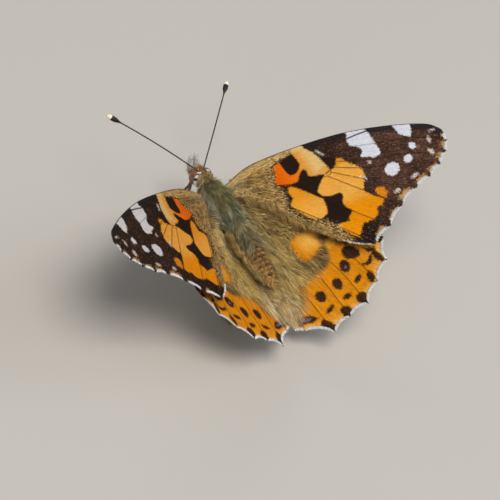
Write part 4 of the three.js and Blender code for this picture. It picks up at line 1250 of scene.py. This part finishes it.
# Hair of the body: from and to along the body, from and to in degrees up from the side, hairs for each square
# mm, length, width, the way it is combed (out to its own side, forward, up), how far it stands off, how much
# it is gathered in locks, and colours, or None for those of the skin
bodyHair = {
    "head_hair": ((4.4, 2.7), (-180, 180), 80, (0.35, 0.7), 0.045, (0.3, 0.5, 0.3), 0.8, 0.3,
                  ("#b07c3e", "#8f6230", "#c99a5c", "#6a4a28", "#d9b684")),
    "head_crest": ((4.3, 3.3), (25, 90), 60, (0.7, 1.25), 0.04, (0.3, 0.55, 1.0), 0.5, 0.45,
                   ("#b57a36", "#8d5c2a", "#cf964e", "#5c4224", "#c8a878")),
    "collar": ((2.75, 1.3), (-60, 90), 95, (0.75, 1.35), 0.05, (0.35, -0.45, 0.2), 0.7, 0.4,
               ("#cfae74", "#c0985a", "#e4cfa0", "#a08050", "#d8bc86")),
    "thorax_hair": ((1.9, -5.2), (-90, 90), 125, (0.7, 1.3), 0.045, (0.15, -1.0, 0.0), 0.26, 0.5, None),
    # thorax_mantle: grey-green hair lightened toward blue-grey, partly its own colour and partly a painted
    # sky reflection
    "thorax_mantle": ((1.2, -5.0), (8, 52), 75, (1.5, 2.7), 0.038, (0.75, -0.8, -0.05), 0.3, 0.55,
                      ("#bcc0ae", "#a8ada0", "#cccdb8", "#8a8b74", "#b9b08c", "#64685a")),
    "wing_root_hair": ((-0.8, -5.2), (-22, 16), 70, (1.4, 2.6), 0.045, (1.0, -0.7, 0.1), 0.5, 0.5,
                       ("#aaa986", "#929374", "#c6c2a0", "#6e6f52", "#b8ac7e")),
    "thorax_rear": ((-3.2, -5.3), (20, 90), 75, (1.4, 2.3), 0.045, (0.4, -1.0, 0.0), 0.4, 0.65,
                    ("#a4aa8a", "#848a70", "#bcc0a0", "#484c3a", "#aca880", "#686e54")),
    "abdomen_mantle": ((-4.6, -10.6), (-10, 90), 60, (0.9, 1.8), 0.04, (0.6, -1.0, 0.0), 0.22, 0.5,
                       ("#a4a078", "#8c8a68", "#c2bc96", "#646248", "#b3a270", "#4c4a34")),
    "abdomen_flank": ((-5.0, -14.6), (-55, 22), 85, (1.4, 2.5), 0.045, (1.05, -1.2, 0.1), 0.34, 0.5,
                      ("#cda75c", "#dcbc7a", "#b38d48", "#86692e", "#e4cc94")),
    "abdomen_hair": ((-4.4, -15.8), (-90, 90), 90, (0.3, 0.7), 0.05, (0.1, -1.0, 0.0), 0.28, 0.65, None),
    "abdomen_back": ((-9.6, -14.9), (-5, 70), 14, (0.6, 1.1), 0.035, (0.9, -1.0, 0.0), 0.3, 0.6,
                     ("#cfa257", "#e2bc78", "#b0843f", "#806030", "#ead2a0")),
    "abdomen_ribs": ((-10.2, -15.6), (-20, 90), 260, (0.35, 0.7), 0.04, (1.0, -0.25, 0.0), 0.3, 0.15,
                     ("#efc070", "#dda650", "#fbe2a8", "#c68e3c")),
    "abdomen_tufts": ((-9.0, -15.6), (-25, 32), 60, (0.5, 1.0), 0.04, (0.5, -1.0, 0.1), 0.35, 0.7,
                      ("#d8bd86", "#c6a064", "#e8d6ae", "#a87f46", "#8c6a3c")),
    "tail_tuft": ((-15.0, -15.8), (-90, 90), 110, (0.5, 0.9), 0.045, (0.0, -1.0, 0.0), 0.15, 0.5,
                  ("#dcae5e", "#c89244", "#e8c886", "#aa7834")),
}


def addBodyHair(name, hair):
    (front, rear), arc, perSquare, lengths, width, sweep, lift, pull, colours = hair
    widest = 2 * np.pi * 2.2
    count = int((front - rear) * widest * perSquare)
    y = random.uniform(rear, front, count)
    angle = random.uniform(-np.pi, np.pi, count)
    low, high = np.radians(arc)
    up = np.arcsin(np.sin(angle))
    gridY, gridAngle = np.linspace(rear, front, 50), np.linspace(0, 2 * np.pi, 40)
    around = np.linalg.norm(np.diff(bodySurface(gridY[:, None], gridAngle[None]), axis=1), axis=-1).sum(1)
    keep = (random.random(count) < np.interp(y, gridY, around) / widest) & (up > low) & (up < high)
    if name in body["ribs"]:
        inHalf = segmentPlace(y)[0] * 2 % 1
        low, high = body["ribs"][name]
        keep &= (inHalf > low) & (inHalf < high)
    y, angle = y[keep], angle[keep]
    n = len(y)
    root, normal = bodySurface(y, angle), bodyNormal(y, angle)
    comb = np.stack([sweep[0] * np.sign(np.cos(angle)), np.full(n, sweep[1]), np.full(n, sweep[2])], 1)
    lie = unit(comb - normal * (comb * normal).sum(1)[:, None])
    lie = unit(lie + np.cross(normal, lie) * random.normal(0, 0.2, (n, 1)))
    along = unit(lie + normal * (lift + random.normal(0, 0.07, n))[:, None])
    length = random.uniform(*lengths, n)
    along, lock = gatherLocks(root, along, length, pull)
    shade = lockShades(lock, 0.4, 1.35) * random.uniform(0.8, 1.2, n)
    # painted shade on the left side of the body's hair
    shade = shade * np.where(np.cos(angle) < 0, body["leftBodyPaintedShade"].get(name, 1.0), 1.0)
    colour = (bodyColour(y, angle) if colours is None else pick(colours, n)) * shade[:, None]
    patch = np.stack([angle % (2 * np.pi) / (2 * np.pi), (y + 16.5) / 22], 1) * 0.96 + 0.02
    width = width * random.uniform(0.7, 1.3, n)
    growTufts(name, root, along, normal, length, width, colour, (0.7, 1.2), patch,
              bend=random.uniform(-0.25, -0.02, n))


for name, hair in bodyHair.items():
    addBodyHair(name, hair)
print("body skin and hair grown")


# Feelers, mouthparts, eyes and legs: bevelled curves and shaped primitives, each turned into a mesh
def standing(x, y, z):  # a point over the floor that the hinges are above, in body axes
    c, s = math.cos(stance["pitch"]), math.sin(stance["pitch"])
    up = z - stance["hingeHeight"]
    return np.array([x, c * y + s * up, c * up - s * y])


def drawTube(points, radii, around=3, smoothness=6):
    bpy.ops.curve.primitive_bezier_curve_add(location=(0, 0, 0))
    curve = bpy.context.object
    curve.data.dimensions = "3D"
    spline = curve.data.splines[0]
    spline.radius_interpolation = "CARDINAL"
    spline.bezier_points.add(len(points) - 2)
    for knot, place, radius in zip(spline.bezier_points, toFloor(points), radii):
        knot.co = place
        knot.radius = radius
        knot.handle_left_type = knot.handle_right_type = "AUTO"
    curve.data.bevel_depth = mm
    curve.data.bevel_resolution = around
    curve.data.resolution_u = smoothness
    curve.data.use_fill_caps = True
    bpy.ops.object.convert(target="MESH")
    return bpy.context.object


def selectOnly(*pieces):
    bpy.ops.object.select_all(action="DESELECT")
    for piece in pieces:
        piece.select_set(True)
    bpy.context.view_layer.objects.active = pieces[0]


def joinPieces(pieces, name):
    selectOnly(*pieces)
    if len(pieces) > 1:
        bpy.ops.object.join()
    joined = bpy.context.object
    joined.name = name
    joined.data.name = name
    bpy.ops.object.shade_smooth()
    joined.select_set(False)
    return joined


def buildLimb(name, tubes):  # joins the tubes, welds their rims and leaves triangles only
    piece = joinPieces(tubes, name)
    selectOnly(piece)
    bpy.ops.object.mode_set(mode="EDIT")
    bpy.ops.mesh.select_all(action="SELECT")
    bpy.ops.mesh.remove_doubles(threshold=0.000002)
    bpy.ops.mesh.normals_make_consistent(inside=False)
    bpy.ops.mesh.quads_convert_to_tris()
    bpy.ops.object.mode_set(mode="OBJECT")
    piece.select_set(False)
    return piece


def pointsOf(piece):
    points = np.empty(len(piece.data.vertices) * 3, np.float32)
    piece.data.vertices.foreach_get("co", points)
    return points.reshape(-1, 3)


def addBall(name, subdivisions, radii, centre):
    bpy.ops.mesh.primitive_ico_sphere_add(subdivisions=subdivisions, radius=1, location=(0, 0, 0))
    ball = bpy.context.object
    ball.name = name
    ball.data.vertices.foreach_set("co", toFloor(pointsOf(ball) * radii + centre).astype(np.float32).ravel())
    ball.data.update()
    return ball


def speckledMaterial(name, light, dark, roughness, grainSize, **sockets):
    material, tree, shader = startMaterial(name, light, roughness, **sockets)
    spot = addNode(tree, "TexCoord", {}, "Object")
    grain = addNode(tree, "TexNoise", {"Vector": spot, "Scale": 1 / (grainSize * mm), "Detail": 3}, "Fac")
    colour = toneOf(tree, {"grain": grain}, (("grain", 0.35, 0.65), dark, light))
    finishShader(tree, shader, colour, grain, 0.3, 0.03)
    return material


def dressLimb(name, line, radii, count, length, width, lift, colours, slot="fur", reach=(0, 1), under=False):
    fine = splineThrough(line, 0.05)
    steps = np.concatenate([[0], np.cumsum(np.linalg.norm(np.diff(fine, axis=0), axis=1))])
    t = random.uniform(*reach, count)
    centre, tangent = (np.stack([np.interp(t, steps / steps[-1], column) for column in table.T], 1)
                       for table in (fine, unit(np.gradient(fine, axis=0))))
    tangent = unit(tangent)
    across = unit(np.cross(tangent, np.array([[0.31, 0.17, 0.93]])))
    turn = random.uniform(0, 2 * np.pi, count)
    outward = across * np.cos(turn)[:, None] + np.cross(tangent, across) * np.sin(turn)[:, None]
    if under:
        down = np.array([[0.0, -0.1, -1.0]])
        outward = unit(outward * 0.35 + down - tangent * (down * tangent).sum(1)[:, None])
    root = centre + outward * np.interp(t, np.linspace(0, 1, len(radii)), radii)[:, None]
    swirl = np.cross(tangent, outward) * random.normal(0, 0.15, (count, 1))
    along = tangent + swirl + outward * (lift + random.normal(0, lift * 0.25, (count, 1)))
    colour = pick(colours, count) * random.uniform(0.8, 1.2, (count, 1))
    patch = np.stack([turn / (2 * np.pi), t], 1) * 0.96 + 0.02
    length, width = random.uniform(*length, count), width * random.uniform(0.7, 1.3, count)
    growTufts(name, root, along, outward, length, width, colour, (0.75, 1.1), patch, slot,
              bend=random.uniform(-0.15, 0.02, count))


# Eyes: polished dark domes of thousands of facets, held in sockets that are rimmed with white scales
eyes = {
    "centre": (0.85, 3.35, 0.05),
    "radii": (0.80, 0.94, 1.08),
    "facet": 0.045,
    "gaze": (0.42, 0.86, -0.30),
    "socketDepth": 0.40,
    "socketOver": 1.05,
    "blackTufts": ((211, 13), (254, 7), (292, 6)),  # in the white rim: degrees round the gaze, half widths
    "rimHair": (800, (0.34, 0.52), 0.06),  # blades, length, width
    "rimColours": ("#ffffff", "#e6ebf2", "#f6f8fb"),
    "tuftColour": "#1c1512",
    "napeHair": (900, (0.4, 0.85), 0.05),
    "napeColours": ("#d8bd8c", "#c4a26a", "#ecdcb8", "#a58556"),
    "socketColour": "#c6ab7c",
}


def eyeMaterial():  # glossy and clouded brown, with a fine grain of facets
    sockets = {"Coat_Weight": 0.35, "Coat_Roughness": 0.2}
    material, tree, shader = startMaterial("compound_eye_cuticle", "#6a4830", 0.3, **sockets)
    spot = addNode(tree, "TexCoord", {}, "Object")
    size = 1 / (eyes["facet"] * mm)
    facets = addNode(tree, "TexVoronoi", {"Vector": spot, "Scale": size, "Randomness": 0.35}, "Distance")
    cloud = addNode(tree, "TexNoise", {"Vector": spot, "Scale": 1 / (0.5 * mm), "Detail": 1}, "Fac")
    colour = toneOf(tree, {"cloud": cloud}, ("cloud", "#44281a", "#9a673e"))
    finishShader(tree, shader, colour, facets, 0.6, 0.01, invert=True)
    return material


def buildEye(side, sideName, material):
    centre = np.array(eyes["centre"]) * (side, 1, 1)
    gaze = unit(np.array(eyes["gaze"]) * (side, 1, 1))
    dome = addBall(f"eye_{sideName}_dome", 6, eyes["radii"], centre)
    settle(joinPieces([dome], dome.name), "eye", material, replaced=(f"eye_{sideName}",))
    radii = np.array(eyes["radii"]) * eyes["socketOver"]
    socket = addBall(f"eye_socket_{sideName}", 5, radii, centre)
    selectOnly(socket)
    bpy.ops.object.mode_set(mode="EDIT")
    bpy.ops.mesh.select_all(action="SELECT")
    cut = toFloor(centre - gaze * eyes["socketDepth"])[0]
    bpy.ops.mesh.bisect(plane_co=cut, plane_no=turnToFloor(gaze)[0], use_fill=True, clear_outer=True)
    bpy.ops.mesh.select_all(action="SELECT")
    bpy.ops.mesh.quads_convert_to_tris()
    bpy.ops.object.mode_set(mode="OBJECT")
    storeCoat(socket, np.tile(palette(eyes["socketColour"]), (len(socket.data.vertices), 1)))
    settle(joinPieces([socket], socket.name), "fur", bodySkinMaterial)
    growEyeHair(side, sideName, centre, gaze, radii)


def growEyeHair(side, sideName, centre, gaze, radii):
    n, length, width = eyes["rimHair"]
    turn = random.uniform(0, 2 * np.pi, n)
    across = unit(np.cross(gaze, [[0, 0, 1.0]])) * -side
    ring = across * np.cos(turn)[:, None] + np.cross(gaze, across) * -side * np.sin(turn)[:, None]
    direction = unit(ring * 1.35 - gaze * 0.52)
    rim = centre + direction / np.linalg.norm(direction / radii, axis=1)[:, None]
    around = np.cross(gaze[None], ring)
    white = pick(eyes["rimColours"], n)
    black = np.any([np.abs(np.degrees(turn) - at) < half for at, half in eyes["blackTufts"]], axis=0)
    colour = np.where(black[:, None], palette(eyes["tuftColour"]), white)
    patch = np.stack([turn / (2 * np.pi) * 0.9 + 0.05, random.uniform(0.9, 0.96, n)], 1)
    rim = rim + random.normal(0, 0.02, (n, 3))
    along = around * 0.35 - gaze * 0.75 + direction * 0.25 + random.normal(0, 0.12, (n, 3))
    growTufts(f"eye_rim_{sideName}", rim, along, direction, random.uniform(*length, n), width, colour,
              (0.95, 1.0), patch, bend=-0.1)
    count, length, width = eyes["napeHair"]
    direction = unit(random.normal(0, 1, (count * 4, 3)))
    place = direction / np.linalg.norm(direction / radii, axis=1)[:, None]
    keep = ((place @ gaze) < -eyes["socketDepth"] - 0.1) & (place[:, 0] * side > -0.35)
    direction, place = direction[keep][:count], place[keep][:count]
    n = len(place)
    back = np.array([[0.25 * side, -1.0, 0.35]])
    lie = unit(back - direction * (back * direction).sum(1)[:, None])
    colour = pick(eyes["napeColours"], n)
    turn = np.arctan2(direction[:, 2], direction[:, 0] * side)
    patch = np.stack([turn / 7 + 0.5, direction[:, 1] * 0.3 + 0.4], 1)
    growTufts(f"eye_nape_{sideName}", centre + place, lie + direction * 0.45, direction,
              random.uniform(*length, n), width, colour, (0.75, 1.0), patch, bend=-0.1)


# Feelers: horny, jointed shafts with pale rings, a dark club and a cream tip
feelers = {
    "root": (0.5, 3.75, 1.0),
    "tips": {"right": (10.1, 14.1, 3.6), "left": (-10.1, 14.2, 4.65)},
    "bow": 0.35,
    "shaft": 0.095,
    "club": 0.36,
    "clubStart": 0.845,
    "joints": 34,
    "ground": ("grain", "#20140f", "#3c291e"),
    "layers": (
        ([("joint", 0.8, 0.9, 0.6), "shaft"], "#8a7765"),
        (("along", 0.83, 0.86), "#0d0908"),
        (("end", 0.958, 0.964), "#f3ead8"),
    ),
}


def feelerLine(sideName, t):
    root, tip = np.array(feelers["root"]), np.array(feelers["tips"][sideName])
    root[0] *= sides[sideName]
    t = t[:, None]
    return root + (tip - root) * t + np.array([0, 0, feelers["bow"]]) * 4 * t * (1 - t)


def feelerRadius(t):
    joint = (t * feelers["joints"]) % 1.0
    base = feelers["shaft"] * (1 + 0.9 * np.exp(-(t / 0.012) ** 2)) * (1 + 0.10 * np.cos(joint * 2 * np.pi))
    rise = easeBetween(t, feelers["clubStart"], feelers["clubStart"] + 0.085)
    fall = np.clip((t - 0.955) / 0.045, 0, 1)
    rounded = np.sqrt(np.maximum(1 - 0.86 * fall**2.2, 0.02))
    return base + (feelers["club"] - feelers["shaft"]) * rise * rounded


def feelerMaterial():  # dull dark horn
    material, tree, shader = startMaterial("dark_feeler_cuticle", "#2a1c14", 0.5, Specular_IOR_Level=0.4)
    spot = addNode(tree, "TexCoord", {}, "Object")
    along = addNode(tree, "Attribute", {"attribute_name": "along"}, "Fac")
    grain = addNode(tree, "TexNoise", {"Vector": spot, "Scale": 1 / (0.08 * mm), "Detail": 2}, "Fac")
    joints = addNode(tree, "Math", {"operation": "MULTIPLY", 0: along, 1: float(feelers["joints"])})
    jitter = addNode(tree, "Math", {**timesPlus, 0: grain, 1: 0.012, 2: -0.006})
    made = {
        "along": along,
        "grain": grain,
        "joint": addNode(tree, "Math", {"operation": "FRACT", 0: joints}),
        "shaft": addNode(tree, "Math", {"operation": "LESS_THAN", 0: along, 1: feelers["clubStart"]}),
        "end": addNode(tree, "Math", {"operation": "ADD", 0: along, 1: jitter}),
    }
    finishShader(tree, shader, layTones(tree, made, feelers["ground"], feelers["layers"]), grain, 0.4, 0.02)
    return material


def buildFeeler(sideName, material):
    joints = np.arange(0, feelers["clubStart"], 0.5 / feelers["joints"])
    t = np.concatenate([joints, np.linspace(feelers["clubStart"], 0.95, 9), np.linspace(0.96, 1.0, 8)])
    tube = drawTube(feelerLine(sideName, t), feelerRadius(t), around=5, smoothness=3)
    piece = buildLimb(f"feeler_{sideName}", [tube])
    start, end = toFloor(feelerLine(sideName, np.array([0.0, 1.0])))
    axis = end - start
    storeNumbers(piece, "along", (pointsOf(piece) - start) @ axis / (axis @ axis))
    settle(piece, "cuticle", material, replaced=(f"antenna_{sideName}",))


# Mouthparts: two hairy palps held up before the face, and the long black tongue let down to the left
mouth = {
    "palp": ((0.42, 4.0, -0.75), (0.46, 4.9, -0.5), (0.44, 5.42, 0.35), (0.38, 5.72, 1.2)),
    "palpRadii": (0.22, 0.27, 0.24, 0.07),
    "palpHair": (  # name, blades, length, width, lift, colours, slot, from and to along the palp
        ("root_hair", 700, (0.25, 0.5), 0.05, 0.4,
         ("#b98a5a", "#9c6f44", "#d2ae84", "#c9c4bc"), "fur", (0, 0.62)),
        ("hair", 850, (0.25, 0.5), 0.055, 0.35,
         ("#f4f6f8", "#e6ebf0", "#cfd6de", "#8f8a84", "#ffffff", "#f4f6f8"), "fur", (0.35, 1)),
        ("bristles", 260, (0.6, 1.15), 0.03, 0.75, ("#c8beb0", "#a08a70", "#6d5a48", "#e8e6e2")),
    ),
    "tongue": ((0, 4.0, -0.8), (-0.05, 4.5, -1.7), (-0.2, 4.3, -2.9), (-1.0, 4.1, -3.6), (-2.6, 4.0, -4.3),
               (-4.3, 4.3, -5.4), (-5.4, 4.8, -6.7), (-5.9, 5.3, -8.0)),
    "tongueRadii": (0.19, 0.19, 0.18, 0.17, 0.16, 0.15, 0.13, 0.09),
    "halfTubeRadius": 0.82,  # share of the whole tongue's
    "halfTube": (0.049, 0.021, 0),  # the tongue is two half tubes held together, with a groove between them
}


def tongueMaterial():  # glossy black, finely ringed
    material, tree, shader = startMaterial("tongue_cuticle", "#17100c", 0.35, Coat_Weight=0.2)
    spot = addNode(tree, "TexCoord", {}, "Object")
    rings = addNode(tree, "TexWave", {"Vector": spot, "Scale": 1 / (0.35 * mm), "Distortion": 0.4,
                                      "bands_direction": "DIAGONAL"}, "Fac")
    colour = toneOf(tree, {"rings": rings}, ("rings", "#0e0907", "#2a1d15"))
    finishShader(tree, shader, colour, rings, 0.4, 0.02)
    return material


def buildMouth():
    radii = np.array(mouth["tongueRadii"]) * mouth["halfTubeRadius"]
    halves = [drawTube(np.array(mouth["tongue"]) + np.array(mouth["halfTube"]) * turn, radii, smoothness=10)
              for turn in (-1, 1)]
    settle(buildLimb("tongue", halves), "cuticle", tongueMaterial(), replaced=("proboscis",))
    palpSkin = speckledMaterial("palp_cuticle", "#b9b2a4", "#6f6454", 0.7, 0.12)  # dull under its scales
    for sideName, side in sides.items():
        line, radii = np.array(mouth["palp"]) * (side, 1, 1), mouth["palpRadii"]
        palp = buildLimb(f"palp_{sideName}_core", [drawTube(line, radii, around=4, smoothness=8)])
        settle(palp, "fur", palpSkin, replaced=(f"palp_{sideName}",))
        for name, *blades in mouth["palpHair"]:
            dressLimb(f"palp_{sideName}_{name}", line, radii, *blades)


# Legs: horny, jointed and scaled, on their feet's last joints and claws. The forelegs are short brushes
legs = {
    "mid": ((1.0, -0.4, -1.9), (4.6, 1.7, 7.4), (7.0, 3.3, 0.9), (8.9, 6.3, 0)),  # hip, knee, ankle, toe
    "hind": ((1.0, -3.1, -1.8), (4.2, -7.1, 6.1), (4.9, -11.7, 0.9), (5.3, -15.3, 0)),
    "radii": {"femur": (0.3, 0.36, 0.3, 0.22), "tibia": (0.2, 0.2, 0.19, 0.2), "foot": (0.135, 0.135)},
    "tarsus": 0.15,
    "shares": (0.0, 0.42, 0.6, 0.75, 0.87, 1.0),  # where the foot's joints end
    "foreleg": ((0.75, 1.0, -1.6), (1.0, 2.1, -2.9), (0.95, 3.2, -3.0), (0.75, 3.7, -1.9),
                (0.65, 3.95, -1.55)),
    "forelegRadii": (0.28, 0.28, 0.2, 0.22, 0.1),
    "forelegBrush": (1000, (0.22, 0.42), 0.045, 0.3, ("#c9ac7c", "#a98c5c", "#7f6a48", "#dcc8a0")),
    "joint": ((0, 0.25, 0.5, 0.75, 1.025), (0.72, 0.86, 0.95, 1.0, 0.6)),  # knots, share of the tarsus
    "claw": (0.045, 0.032, 0.008),  # radii
    "spur": (0.04, 0.032, 0.006),
}
scaleColours = ("#c9a673", "#b08a58", "#dcc193", "#94744a", "#e6d3ae")
darkColours = ("#4a3a2a", "#5d4a36", "#352a20")
legCoat = (  # part, name, blades, length, width, lift, colours, slot, from and to along it, underneath only
    ("femur", "hair", 900, (0.3, 0.6), 0.05, 0.16, scaleColours[:4] + darkColours[:2]),
    ("femur", "brush", 260, (0.5, 0.9), 0.035, 0.75, scaleColours, "fur", (0, 1), True),
    ("tibia", "scales", 650, (0.22, 0.34), 0.06, 0.07, scaleColours),
    ("tibia", "spines", 46, (0.3, 0.42), 0.035, 0.7, darkColours, "leg", (0.1, 0.98)),
    ("foot", "spines", 90, (0.14, 0.2), 0.03, 0.5, darkColours, "leg", (0.06, 0.98)),
    ("foot", "scales", 420, (0.14, 0.22), 0.05, 0.04, scaleColours),
)


def legLines(pair, side):
    mirror = np.array([side, 1, 1])
    hip, knee, ankle, toe = legs[pair]
    sole = standing(*toe[:2], legs["tarsus"] + 0.01) * mirror
    heel = standing(*ankle[:2], legs["tarsus"] + 0.12) * mirror
    hip, knee, ankle = np.array(hip) * mirror, standing(*knee) * mirror, standing(*ankle) * mirror
    femur = [hip, hip * 0.66 + knee * 0.34, hip * 0.2 + knee * 0.8, knee]
    tibia = [knee, knee * 0.66 + ankle * 0.34, knee * 0.2 + ankle * 0.8, ankle * 0.9 + heel * 0.1]
    foot = [heel * (1 - s) + sole * s for s in legs["shares"]]
    foot[0] = ankle * 0.75 + heel * 0.25
    return {"femur": np.array(femur), "tibia": np.array(tibia), "foot": np.array(foot)}


def buildLeg(pair, side, sideName, material):
    lines = legLines(pair, side)
    tibia, foot = lines["tibia"], lines["foot"]
    pieces = [drawTube(lines[part], legs["radii"][part]) for part in ("femur", "tibia")]
    knots, radii = legs["joint"]
    for start, end in zip(foot[:-1], foot[1:]):  # each joint is a short cup that overlaps the next one
        line = [start + (end - start) * share for share in knots]
        pieces.append(drawTube(line, np.array(radii) * legs["tarsus"], smoothness=3))
    ahead = unit(foot[-1] - foot[-2])
    down = standing(0, 0, -1) - standing(0, 0, 0)
    across = unit(np.cross(down, ahead))
    for turn in (-1, 1):  # two claws, and a spur at each side of the shin's end
        start = foot[-1] - ahead * 0.05 + across * 0.05 * turn
        middle = start + ahead * 0.12 + across * 0.07 * turn
        tip = start + ahead * 0.2 + across * 0.1 * turn + down * 0.1
        pieces.append(drawTube([start, middle, tip], legs["claw"], around=2, smoothness=4))
        spur = tibia[-1] + across * 0.1 * turn
        end = spur + ahead * 0.34 + across * 0.16 * turn + down * 0.1
        pieces.append(drawTube([spur, (spur + end) / 2, end], legs["spur"], around=2, smoothness=3))
    leg = f"{pair}leg_{sideName}"
    settle(buildLimb(f"{leg}_limb", pieces), "leg", material, replaced=(leg,))
    for part, name, *blades in legCoat:
        dressLimb(f"{leg}_{part}_{name}", lines[part], legs["radii"][part], *blades)


def buildForeleg(side, sideName, material):
    line, radii = np.array(legs["foreleg"]) * (side, 1, 1), legs["forelegRadii"]
    limb = buildLimb(f"foreleg_{sideName}_limb", [drawTube(line, radii)])
    settle(limb, "leg", material, replaced=(f"foreleg_{sideName}",))
    dressLimb(f"foreleg_{sideName}_brush", line, radii, *legs["forelegBrush"])


eyeCuticle = eyeMaterial()
feelerCuticle = feelerMaterial()
# Horny and waxy under the scales
legCuticle = speckledMaterial("leg_cuticle", "#a9825a", "#6a4c33", 0.5, 0.15, Specular_IOR_Level=0.4)
for sideName, side in sides.items():
    buildEye(side, sideName, eyeCuticle)
    buildFeeler(sideName, feelerCuticle)
    buildForeleg(side, sideName, legCuticle)
    for pair in ("mid", "hind"):
        buildLeg(pair, side, sideName, legCuticle)
buildMouth()
print("feelers, mouth, eyes and legs built")
